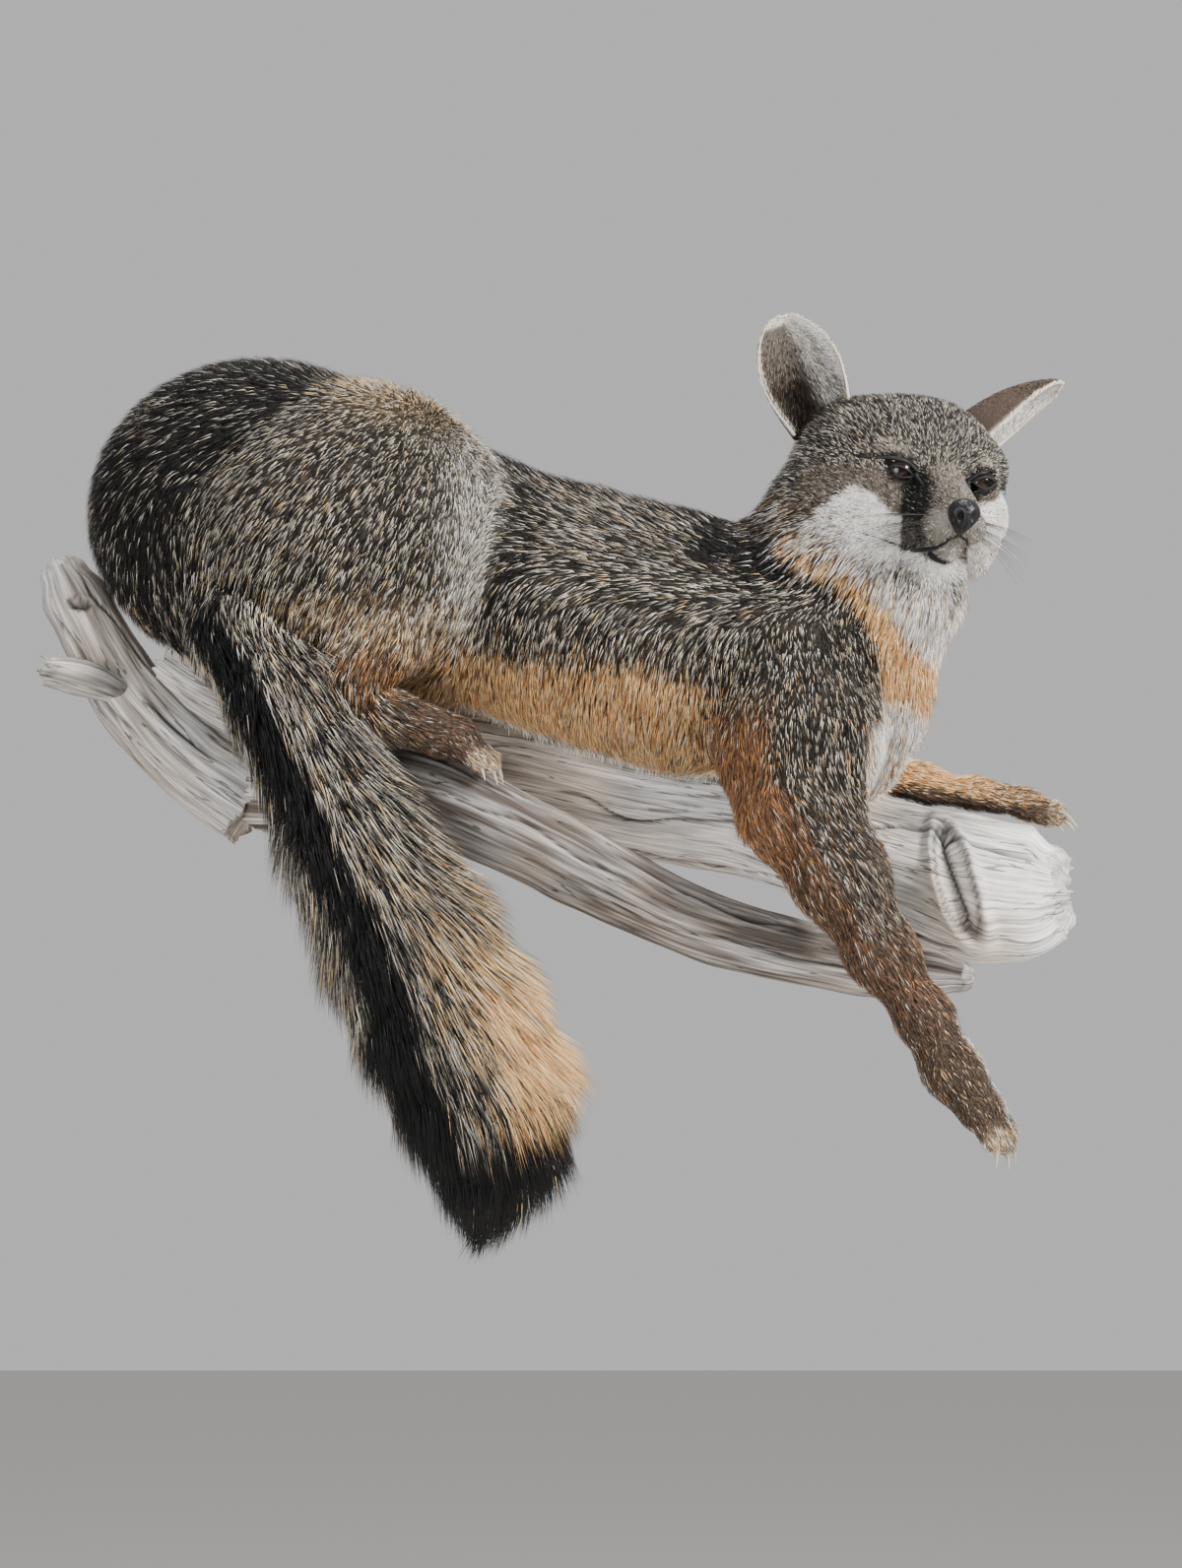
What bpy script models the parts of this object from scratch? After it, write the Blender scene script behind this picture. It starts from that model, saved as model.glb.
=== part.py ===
"""A mounted gray fox, lounging on driftwood that hangs on a wall.

World frame: metres, +Z up.  The wall is the plane Y = 0 and the room is on
its -Y side.  The origin is the centre of the wall plate's back face.  The
fox lies along +X with its right side to the room and its face turned to it.
The solids reach out to the tips of the coat.

The fox and the wood are each one implicit form, a soft union of tapered
links and eggs.  Every primitive belongs to a named body part, and a node is
the share of the form that lies nearest to its part, less a thin seam.
"""
import itertools
import math

import bmesh
import bpy
import numpy as np
from mathutils import Euler, Matrix, Vector

# ------------------------------------------------------------ driving sizes
SEAM = 0.0006            # gap between neighbouring solids
BODY_GAP = 0.0012        # gap between neighbouring lengths of the body or wood
WOOD_GAP = 0.0020        # gap between the coat and the wood it rests on
FOX_LATTICE = 0.0030     # lattice spacing for the fox
WOOD_LATTICE = 0.0036    # lattice spacing for the driftwood
FAR = 0.030              # reach of one primitive's influence
WALL_CLEARANCE = 0.006   # free space between the coat and the wall

PLATE_WIDTH, PLATE_DEPTH, PLATE_HEIGHT = 0.150, 0.010, 0.036
PLATE_BEVEL = 0.002

EYE_RADIUS = 0.0092
EYE_OFFSET = 0.0208      # eye centre to the middle of the face
EAR_LENGTH = 0.062
EAR_HALF_WIDTH = 0.0210
EAR_THICKNESS = 0.0020
CLAW_LENGTH = 0.0100
CLAW_RADIUS = 0.0016

HEAD_ORIGIN = Vector((0.1755, -0.1520, 0.1385))   # midway between the eyes
HEAD_TURN = Euler((math.radians(19.0), math.radians(4.5), math.radians(10.5)))

# ------------------------------------------------- skeleton: link = start,
# end, start radius, end radius; egg = centre, radii
TRUNK_LINKS = [
    ((-0.150, -0.086, 0.140), (-0.075, -0.085, 0.108), 0.066, 0.063),
    ((-0.075, -0.085, 0.108), (0.000, -0.085, 0.084), 0.063, 0.062),
    ((0.000, -0.085, 0.084), (0.055, -0.087, 0.068), 0.062, 0.062),
    ((0.055, -0.087, 0.068), (0.110, -0.090, 0.060), 0.062, 0.058),
    ((0.118, -0.092, 0.055), (0.142, -0.094, 0.034), 0.046, 0.030),
    ((0.128, -0.090, 0.030), (0.136, -0.086, 0.004), 0.034, 0.020),
]
RUMP_EGG = ((-0.180, -0.090, 0.140), (0.088, 0.064, 0.085))
NECK_LINKS = [
    ((0.112, -0.098, 0.084), (0.134, -0.111, 0.112), 0.049, 0.048),
    ((0.138, -0.102, 0.042), (0.160, -0.128, 0.086), 0.030, 0.034),
]
NAPE_LINK = ((0.134, -0.111, 0.112), (0.146, -0.120, 0.150), 0.048, 0.043)
HAUNCH_RIGHT_EGG = ((-0.124, -0.121, 0.119), (0.083, 0.064, 0.083))
HAUNCH_LEFT_EGG = ((-0.122, -0.060, 0.106), (0.074, 0.047, 0.070))
TAIL_POINTS = [   # centre line and radius
    ((-0.190, -0.112, 0.104), 0.032),
    ((-0.172, -0.134, 0.064), 0.033),
    ((-0.150, -0.148, 0.022), 0.034),
    ((-0.119, -0.156, -0.041), 0.040),
    ((-0.091, -0.156, -0.093), 0.046),
    ((-0.071, -0.150, -0.130), 0.048),
    ((-0.053, -0.142, -0.165), 0.047),
    ((-0.047, -0.137, -0.191), 0.039),
    ((-0.049, -0.134, -0.212), 0.024),
    ((-0.053, -0.132, -0.232), 0.006),
]
TAIL_FLATNESS = 1.25      # how much thinner the tail is from wall to room

FORELEG_RIGHT = [
    ((0.104, -0.118, 0.046), 0.047),
    ((0.104, -0.128, 0.008), 0.043),
    ((0.103, -0.138, -0.026), 0.031),
    ((0.1204, -0.145, -0.062), 0.0235),
    ((0.1397, -0.148, -0.101), 0.0165),
    ((0.1600, -0.150, -0.134), 0.0125),
    ((0.1714, -0.152, -0.158), 0.0130),
    ((0.1850, -0.155, -0.178), 0.0125),
]
FORELEG_LEFT = [
    ((0.112, -0.062, 0.040), 0.040),
    ((0.128, -0.050, 0.016), 0.026),
    ((0.146, -0.046, 0.006), 0.016),
    ((0.176, -0.047, 0.001), 0.0125),
    ((0.206, -0.048, -0.006), 0.0110),
    ((0.232, -0.050, -0.010), 0.0115),
]
HIND_RIGHT = [
    ((-0.108, -0.138, 0.062), 0.030),
    ((-0.124, -0.144, 0.036), 0.021),
    ((-0.136, -0.142, 0.026), 0.0155),
    ((-0.104, -0.138, 0.019), 0.0140),
    ((-0.068, -0.133, 0.008), 0.0125),
]
HIND_LEFT = [
    ((-0.080, -0.046, 0.070), 0.030),
    ((-0.120, -0.036, 0.058), 0.020),
    ((-0.130, -0.030, 0.056), 0.0135),
    ((-0.104, -0.026, 0.053), 0.0120),
    ((-0.072, -0.024, 0.050), 0.0105),
]

# Head sizes in the head's own frame: +X its left, +Y its back, +Z its crown.
CRANIUM = ((0.0, 0.036, 0.006), (0.040, 0.046, 0.037))
TEMPLE_RIGHT = ((-0.036, 0.042, 0.006), (0.024, 0.028, 0.026))
TEMPLE_LEFT = ((0.030, 0.042, 0.002), (0.022, 0.026, 0.024))
CHEEK = ((0.026, 0.022, -0.018), (0.025, 0.034, 0.024))
RUFF = ((0.034, 0.044, -0.024), (0.021, 0.027, 0.027))
BROW = ((0.018, 0.008, 0.007), (0.013, 0.016, 0.008))
WHISKER_PAD = ((0.0075, -0.036, -0.0245), (0.0095, 0.014, 0.0095))
SNOUT = ((0.0, 0.006, -0.014), (0.0, -0.040, -0.0210), 0.0205, 0.0115)
BRIDGE = ((0.0, 0.000, -0.003), (0.0, -0.046, -0.0150), 0.0125, 0.0075)
JAW = ((0.0, 0.012, -0.034), (0.0, -0.036, -0.0360), 0.0160, 0.0070)
ORBIT = ((0.0230, -0.0150, 0.0015), 0.0085)
NOSE_PAD = ((0.0, -0.0525, -0.0185), (0.0085, 0.0075, 0.0085))

# Driftwood: centre line points and radii.
LOG_POINTS = [
    ((-0.232, -0.060, 0.066), 0.019),
    ((-0.196, -0.055, 0.044), 0.024),
    ((-0.150, -0.050, 0.026), 0.028),
    ((-0.095, -0.045, 0.017), 0.029),
    ((-0.037, -0.040, 0.009), 0.030),
    ((0.021, -0.039, -0.005), 0.031),
    ((0.085, -0.039, -0.016), 0.030),
    ((0.150, -0.044, -0.038), 0.033),
    ((0.196, -0.050, -0.053), 0.039),
    ((0.226, -0.052, -0.058), 0.038),
    ((0.242, -0.052, -0.058), 0.031),
]
BRANCH_POINTS = [
    ((-0.170, -0.068, 0.000), 0.026),
    ((-0.128, -0.086, -0.006), 0.026),
    ((-0.080, -0.100, -0.016), 0.024),
    ((-0.020, -0.104, -0.044), 0.021),
    ((0.050, -0.098, -0.079), 0.0178),
    ((0.126, -0.090, -0.098), 0.0160),
    ((0.188, -0.085, -0.106), 0.0130),
]
KNOB_POINTS = [
    ((-0.178, -0.066, -0.014), 0.022),
    ((-0.212, -0.066, 0.010), 0.022),
    ((-0.243, -0.066, 0.042), 0.0205),
    ((-0.266, -0.066, 0.078), 0.0185),
    ((-0.286, -0.066, 0.116), 0.0175),
]
FLANGE = ((-0.262, -0.092, 0.050), (0.026, 0.020, 0.0085))


# ---------------------------------------------------------- implicit forms
class Form:
    """One primitive: a signed distance, its box and the part it belongs to."""

    def __init__(self, part, distance, low, high, blend, sign=1, overshoot=None):
        self.part = part
        self.distance = distance
        self.overshoot = overshoot
        self.low = np.array(low, dtype=np.float32) - FAR
        self.high = np.array(high, dtype=np.float32) + FAR
        self.blend = blend
        self.sign = sign

    def near(self, points):
        return np.all((points > self.low) & (points < self.high), axis=1)


def link(part, start, end, start_radius, end_radius, blend, flat=None, sign=1):
    """A tapered round link; flat = (axis, factor) makes it thinner along axis."""
    start = np.array(start, dtype=np.float32)
    along = np.array(end, dtype=np.float32) - start
    length_squared = float(along @ along)

    def distance(points):
        offset = points - start
        share = np.clip(offset @ along / length_squared, 0.0, 1.0)
        offset = offset - share[:, None] * along
        if flat:
            axis = np.array(flat[0], dtype=np.float32)
            offset = offset + np.outer(offset @ axis, axis) * (flat[1] - 1.0)
        radius = start_radius + share * (end_radius - start_radius)
        return np.sqrt((offset * offset).sum(axis=1)) - radius

    def overshoot(points):
        share = (points - start) @ along / length_squared
        return np.abs(share - np.clip(share, 0.0, 1.0)) * math.sqrt(length_squared)

    reach = max(start_radius, end_radius)
    low = np.minimum(start, start + along) - reach
    high = np.maximum(start, start + along) + reach
    return Form(part, distance, low, high, blend, sign, overshoot)


def egg(part, centre, radii, blend, turn=None, sign=1):
    """An ellipsoid, turned by a 3 x 3 rotation."""
    centre = np.array(centre, dtype=np.float32)
    radii = np.array(radii, dtype=np.float32)
    axes = np.array(turn if turn is not None else Matrix.Identity(3), dtype=np.float32)

    def distance(points):
        scaled = (points - centre) @ axes / radii
        size = np.sqrt((scaled * scaled).sum(axis=1)) + 1e-9
        slope = np.sqrt(((scaled / radii) ** 2).sum(axis=1)) + 1e-9
        return size * (size - 1.0) / slope

    reach = radii.max()
    return Form(part, distance, centre - reach, centre + reach, blend, sign)


def chain(parts, points, blend, flat=None):
    """Links through (point, radius) pairs; parts names the node of each link."""
    pairs = zip(parts, points[:-1], points[1:])
    return [link(part, a[0], b[0], a[1], b[1], blend, flat) for part, a, b in pairs]


def soft_min(first, second, reach):
    share = np.clip(0.5 + 0.5 * (second - first) / reach, 0.0, 1.0)
    return second + (first - second) * share - reach * share * (1.0 - share)


def evaluate(forms, points):
    """Signed distance of the soft union of all forms."""
    value = np.full(len(points), FAR, dtype=np.float32)
    for form in forms:
        near = form.near(points)
        distance = form.distance(points[near])
        if form.sign > 0:
            value[near] = soft_min(value[near], distance, form.blend)
        else:
            value[near] = -soft_min(-value[near], distance, form.blend)
    return value


def part_distance(forms, part, points):
    """Distance to the forms of one part, for sharing the body out.

    How far a point lies past a link's ends is added, so that two lengths of
    one limb part on the plane of their joint.
    """
    value = np.full(len(points), FAR, dtype=np.float32)
    for form in forms:
        if form.part == part and form.sign > 0:
            near = form.near(points)
            inside = points[near]
            distance = form.distance(inside)
            if form.overshoot:
                distance = distance + form.overshoot(inside)
            value[near] = np.minimum(value[near], distance)
    return value


# ------------------------------------------------------------ the fox's form
def head_point(local):
    return HEAD_ORIGIN + HEAD_TURN.to_matrix() @ Vector(local)


def mirrored(local, side):
    return (local[0] * side, local[1], local[2])


def head_forms():
    turn = HEAD_TURN.to_matrix()
    forms = [link("head", *NAPE_LINK, 0.020)]
    for centre, radii in (CRANIUM, TEMPLE_RIGHT, TEMPLE_LEFT):
        forms.append(egg("head", head_point(centre), radii, 0.012, turn))
    for side in (-1, 1):
        for centre, radii in (CHEEK, RUFF, BROW):
            place = head_point(mirrored(centre, side))
            forms.append(egg("head", place, radii, 0.012, turn))
    for start, end, start_radius, end_radius in (SNOUT, BRIDGE, JAW):
        ends = head_point(start), head_point(end)
        forms.append(link("head", *ends, start_radius, end_radius, 0.008))
    for side in (-1, 1):
        place = head_point(mirrored(WHISKER_PAD[0], side))
        forms.append(egg("head", place, WHISKER_PAD[1], 0.004, turn))
        place = head_point(mirrored(ORBIT[0], side))
        forms.append(egg("head", place, [ORBIT[1]] * 3, 0.008, turn, sign=-1))
    return forms


class Paw:
    """Four toes with their claws, fanned out across the end of a leg."""

    def __init__(self, part, base, heading, across, toe_length, toe_radius, spread):
        self.part = part
        self.base = Vector(base)
        self.heading = Vector(heading).normalized()
        self.across = Vector(across).normalized()
        self.toe_length = toe_length
        self.toe_radius = toe_radius
        self.spread = spread

    def toe(self, number):
        """Root, tip and direction of toe 0 to 3; the middle two reach further."""
        offset = (number - 1.5) * self.spread
        middle = 1.0 if number in (1, 2) else 0.80
        root = self.base + self.across * offset * 0.6
        tip = self.base + self.across * offset + self.heading * self.toe_length * middle
        return root, tip, (tip - root).normalized()

    def forms(self):
        forms = []
        for number in range(4):
            root, tip, _ = self.toe(number)
            forms.append(link(self.part, root, tip, self.toe_radius * 1.1,
                              self.toe_radius, 0.004))
        return forms


PAWS = {
    "forepaw_right": Paw("forepaw_right", (0.1850, -0.1550, -0.1780),
                         (0.55, -0.05, -0.83), (0.45, 0.80, 0.30), 0.0180, 0.0060, 0.0082),
    "forepaw_left": Paw("forepaw_left", (0.2320, -0.0500, -0.0100),
                        (0.95, -0.02, -0.30), (0.05, 1.00, 0.00), 0.0190, 0.0060, 0.0080),
    "hind_foot_right": Paw("hind_foot_right", (-0.0660, -0.1330, 0.0070),
                           (0.76, 0.0, -0.65), (0.25, 0.93, 0.25), 0.0190, 0.0062, 0.0080),
    "hind_foot_left": Paw("hind_foot_left", (-0.0720, -0.0240, 0.0500),
                          (0.95, -0.02, -0.05), (0.05, 0.95, 0.12), 0.0160, 0.0052, 0.0066),
}


def fox_forms():
    forms = [link("trunk", *entry, 0.030) for entry in TRUNK_LINKS]
    forms.append(egg("trunk", *RUMP_EGG, 0.030))
    forms.append(egg("haunch_right", *HAUNCH_RIGHT_EGG, 0.010))
    forms.append(egg("haunch_left", *HAUNCH_LEFT_EGG, 0.016))
    forms += [link("neck", *entry, 0.022) for entry in NECK_LINKS]
    forms += head_forms()
    forms += chain(["arm_right"] * 2 + ["forearm_right"] * 3 + ["forepaw_right"] * 2,
                   FORELEG_RIGHT, 0.012)
    forms += chain(["arm_left"] * 2 + ["forearm_left"] * 2 + ["forepaw_left"],
                   FORELEG_LEFT, 0.010)
    forms += chain(["haunch_right"] * 2 + ["hind_foot_right"] * 2, HIND_RIGHT, 0.008)
    forms += chain(["haunch_left"] * 2 + ["hind_foot_left"] * 2, HIND_LEFT, 0.008)
    tail_parts = ["tail_root"] * 3 + ["tail_middle"] * 2 + ["tail_tip"] * 4
    forms += chain(tail_parts, TAIL_POINTS, 0.008, ((0.0, 1.0, 0.0), TAIL_FLATNESS))
    for paw in PAWS.values():
        forms += paw.forms()
    return forms


def wood_forms():
    forms = chain(["log"] * (len(LOG_POINTS) - 1), LOG_POINTS, 0.012)
    forms += chain(["lower_branch"] * (len(BRANCH_POINTS) - 1), BRANCH_POINTS, 0.012)
    forms += chain(["knob_branch"] * (len(KNOB_POINTS) - 1), KNOB_POINTS, 0.012)
    forms.append(egg("knob_branch", *FLANGE, 0.004, Euler((0.0, 0.2, 0.3)).to_matrix()))
    return forms


FOX = fox_forms()
WOOD = wood_forms()


def wood_value(points):
    """The wood, planed off where the wall plate meets it."""
    plane = points[:, 1] + PLATE_DEPTH + SEAM
    return np.maximum(evaluate(WOOD, points), plane)


def fox_value(points):
    """The coat's outer surface, pressed in by the wood and clear of the wall."""
    value = np.maximum(evaluate(FOX, points), WOOD_GAP - wood_value(points))
    return np.maximum(value, points[:, 1] + WALL_CLEARANCE)


# -------------------------------------------------------- lattice to surface
def lattice(forms, step):
    low = np.min([form.low for form in forms], axis=0) + FAR - 3 * step
    high = np.max([form.high for form in forms], axis=0) - FAR + 3 * step
    shape = np.ceil((high - low) / step).astype(int) + 1
    axes = [low[i] + step * np.arange(shape[i]) for i in range(3)]
    grid = np.stack(np.meshgrid(*axes, indexing="ij"), axis=-1)
    return low, shape, grid.reshape(-1, 3).astype(np.float32)


CORNERS = np.array([(i, j, k) for i in (0, 1) for j in (0, 1) for k in (0, 1)])


def corner_groups(chosen):
    """Splits some of a cell's corners into groups joined by the cell's edges."""
    groups = []
    for corner in chosen:
        joined = [g for g in groups
                  if any(np.abs(CORNERS[corner] - CORNERS[o]).sum() == 1 for o in g)]
        groups = [g for g in groups if g not in joined]
        groups.append(sum(joined, []) + [corner])
    return sorted(groups, key=len)


def cell_faces():
    """The corners of a cell's six faces, each in turn round its face."""
    faces = []
    for axis in range(3):
        for side in (0, 1):
            face = [c for c in range(8) if CORNERS[c][axis] == side]
            faces.append((face[0], face[1], face[3], face[2]))
    return faces


def corners_to_drop(inside):
    """The inner corners a cell must lose to be crossed by one plain sheet."""
    inner = corner_groups([c for c in range(8) if inside[c]])
    outer = corner_groups([c for c in range(8) if not inside[c]])
    if len(inner) > 1:
        return sum(inner[:-1], [])
    if len(outer) > 1:
        gap = outer[0][0]
        return [c for c in range(8) if np.abs(CORNERS[c] - CORNERS[gap]).sum() == 1][:1]
    for a, b, c, d in cell_faces():
        if inside[a] == inside[c] and inside[b] == inside[d] and inside[a] != inside[b]:
            return [a if inside[a] else b]
    return []


def untangle(values):
    """Drops lattice points until no cell is crossed by two sheets of surface."""
    table = np.zeros((256, 8), dtype=bool)
    for pattern in range(256):
        table[pattern, corners_to_drop([bool(pattern >> c & 1) for c in range(8)])] = True
    shape = values.shape
    cells = [None]
    while len(cells):
        inside = values < 0
        pattern = np.zeros([n - 1 for n in shape], dtype=np.int32)
        for number, (i, j, k) in enumerate(CORNERS):
            pattern |= inside[i:shape[0] - 1 + i, j:shape[1] - 1 + j,
                              k:shape[2] - 1 + k].astype(np.int32) << number
        cells = np.argwhere(table.any(axis=1)[pattern])
        drops = table[pattern[tuple(cells.T)]]
        for number, corner in enumerate(CORNERS):
            values[tuple((cells[drops[:, number]] + corner).T)] = 1e-5
    return values


def net_surface(values, low, step):
    """Quads round the zero level of a lattice, one vertex in each mixed cell."""
    inside = values < 0
    nx, ny, nz = inside.shape
    count = sum(inside[i:nx - 1 + i, j:ny - 1 + j, k:nz - 1 + k].astype(np.int8)
                for i, j, k in CORNERS)
    mixed = (count > 0) & (count < 8)
    cells = np.argwhere(mixed)
    index = np.full(mixed.shape, -1, dtype=np.int64)
    index[mixed] = np.arange(len(cells))
    corner_values = np.stack([values[tuple((cells + corner).T)] for corner in CORNERS], axis=1)
    total = np.zeros((len(cells), 3))
    crossings = np.zeros(len(cells))
    for a in range(8):
        for b in range(a + 1, 8):
            if np.abs(CORNERS[a] - CORNERS[b]).sum() != 1:
                continue
            va, vb = corner_values[:, a], corner_values[:, b]
            crossed = (va < 0) != (vb < 0)
            share = np.where(crossed, va / np.where(crossed, va - vb, 1.0), 0.0)
            place = CORNERS[a] + share[:, None] * (CORNERS[b] - CORNERS[a])
            total += np.where(crossed[:, None], place, 0.0)
            crossings += crossed
    vertices = low + step * (cells + total / crossings[:, None])
    quads = []
    for axis in range(3):
        u, v = (axis + 1) % 3, (axis + 2) % 3
        size = list(inside.shape)
        start = [slice(1, n - 1) for n in size]
        start[axis] = slice(0, size[axis] - 1)
        end = list(start)
        end[axis] = slice(1, size[axis])
        first, second = inside[tuple(start)], inside[tuple(end)]
        edges = np.argwhere(first != second)
        leaving = first[tuple(edges.T)]
        base = edges + np.array([0 if n == axis else 1 for n in range(3)])
        corners = []
        for du, dv in ((-1, -1), (0, -1), (0, 0), (-1, 0)):
            cell = base.copy()
            cell[:, u] += du
            cell[:, v] += dv
            corners.append(index[tuple(cell.T)])
        quad = np.stack(corners, axis=1)
        quad[~leaving] = quad[~leaving][:, ::-1]
        quads.append(quad)
    return vertices, np.concatenate(quads)


def settle(vertices, value_of, limit, rounds=3):
    """Moves vertices along the slope of value_of until they lie on its zero."""
    points = vertices.astype(np.float32)
    probe = 0.0004
    for _ in range(rounds):
        value = value_of(points)
        slope = np.zeros_like(points)
        for axis in range(3):
            step = np.zeros(3, dtype=np.float32)
            step[axis] = probe
            slope[:, axis] = (value_of(points + step) - value_of(points - step)) / (2 * probe)
        steep = np.maximum((slope * slope).sum(axis=1), 0.25)
        move = -slope * (value / steep)[:, None]
        points = points + np.clip(move, -limit, limit)
    return points


# ------------------------------------------------------------ Blender pieces
def finish_material(name, colour, roughness, metallic=0.0):
    material = bpy.data.materials.new(name)
    material.use_nodes = True
    shader = material.node_tree.nodes["Principled BSDF"]
    shader.inputs["Base Color"].default_value = (*colour, 1.0)
    shader.inputs["Roughness"].default_value = roughness
    shader.inputs["Metallic"].default_value = metallic
    return material


def mesh_object(name, vertices, faces, material):
    mesh = bpy.data.meshes.new(name)
    mesh.from_pydata([tuple(map(float, v)) for v in vertices], [],
                     [tuple(map(int, f)) for f in faces])
    mesh.materials.append(material)
    mesh.shade_smooth()
    obj = bpy.data.objects.new(name, mesh)
    bpy.context.scene.collection.objects.link(obj)
    return obj


def bake_modifiers(obj):
    """Replaces the mesh by what its modifiers make of it."""
    graph = bpy.context.evaluated_depsgraph_get()
    made = bpy.data.meshes.new_from_object(obj.evaluated_get(graph))
    obj.modifiers.clear()
    old = obj.data
    obj.data = made
    bpy.data.meshes.remove(old)


def is_closed(data):
    """Whether each edge of a mesh has exactly two faces."""
    mesh = bmesh.new()
    mesh.from_mesh(data)
    closed = all(len(edge.link_faces) == 2 for edge in mesh.edges)
    mesh.free()
    return closed


def thin_out(obj, triangles):
    """Decimates a piece to about a number of triangles, keeping it closed."""
    full = obj.data.copy()
    present = sum(len(face.vertices) - 2 for face in full.polygons)
    for trial in range(8):
        obj.data = full.copy()
        modifier = obj.modifiers.new("thin_out", "DECIMATE")
        modifier.ratio = min(1.0, (triangles + 10 * trial) / present)
        modifier.use_collapse_triangulate = True
        bake_modifiers(obj)
        if is_closed(obj.data):
            break
    bpy.data.meshes.remove(full)


def grown_copy(obj, gap):
    """A copy of a piece, swollen by the seam, to cut its neighbours with."""
    copy = bpy.data.objects.new(obj.name + "_cutter", obj.data.copy())
    bpy.context.scene.collection.objects.link(copy)
    swell = copy.modifiers.new("swell", "DISPLACE")
    swell.mid_level = 0.0
    swell.strength = gap
    bake_modifiers(copy)
    return copy


def cut_away(obj, tool):
    """Takes the tool and a thin seam round it out of a piece."""
    cutter = grown_copy(tool, SEAM)
    boolean = obj.modifiers.new("cut", "BOOLEAN")
    boolean.operation = "DIFFERENCE"
    boolean.solver = "EXACT"
    boolean.object = cutter
    bake_modifiers(obj)
    bpy.data.objects.remove(cutter)


def overlap(first, second):
    """Whether two pieces share any space."""
    spans = [[corner[:] for corner in obj.bound_box] for obj in (first, second)]
    for a, b in ((spans[0], spans[1]), (spans[1], spans[0])):
        if any(np.min(a, axis=0) > np.max(b, axis=0)):
            return False
    probe = bpy.data.objects.new("probe", first.data.copy())
    bpy.context.scene.collection.objects.link(probe)
    boolean = probe.modifiers.new("shared", "BOOLEAN")
    boolean.operation = "INTERSECT"
    boolean.solver = "EXACT"
    boolean.object = second
    bake_modifiers(probe)
    shared = len(probe.data.polygons) > 0
    bpy.data.objects.remove(probe)
    return shared


def trim_overlaps(pieces):
    """Cuts a piece back where thinning out has pushed it into its neighbour."""
    for first, second in itertools.combinations(pieces, 2):
        if overlap(first, second):
            cut_away(second, first)
            keep_largest(second)


def share_out(forms, value_of, step, nodes):
    """Makes one solid for each named part: nodes = {part: (triangles, material)}."""
    low, shape, points = lattice(forms, step)
    whole = value_of(points)
    distances = {part: part_distance(forms, part, points) for part in nodes}
    made = {}
    for part, (triangles, material) in nodes.items():
        others = np.min([distances[other] for other in nodes if other != part], axis=0)
        value = np.maximum(whole, 0.5 * (distances[part] - others) + 0.5 * BODY_GAP)
        value = value.reshape(shape)
        filled = np.argwhere(value < 0)
        first = np.maximum(filled.min(axis=0) - 2, 0)
        last = filled.max(axis=0) + 3
        window = tuple(slice(a, b) for a, b in zip(first, last))
        vertices, quads = net_surface(untangle(value[window]), low + step * first, step)

        def node_value(where, part=part):
            own = part_distance(forms, part, where)
            rest = [part_distance(forms, other, where) for other in nodes if other != part]
            border = 0.5 * (own - np.min(rest, axis=0)) + 0.5 * BODY_GAP
            return np.maximum(value_of(where), border)

        vertices = settle(vertices, node_value, 0.4 * step)
        made[part] = mesh_object(part, vertices, quads, material)
        keep_largest(made[part])
        thin_out(made[part], triangles)
    trim_overlaps(made.values())
    return made


def keep_largest(obj):
    """Drops specks that a seam has cut loose from a piece."""
    mesh = bmesh.new()
    mesh.from_mesh(obj.data)
    mesh.verts.ensure_lookup_table()
    seen = set()
    islands = []
    for vertex in mesh.verts:
        if vertex.index in seen:
            continue
        island, stack = [], [vertex]
        seen.add(vertex.index)
        while stack:
            here = stack.pop()
            island.append(here)
            for edge in here.link_edges:
                other = edge.other_vert(here)
                if other.index not in seen:
                    seen.add(other.index)
                    stack.append(other)
        islands.append(island)
    islands.sort(key=len)
    for island in islands[:-1]:
        bmesh.ops.delete(mesh, geom=island, context="VERTS")
    mesh.to_mesh(obj.data)
    mesh.free()


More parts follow.
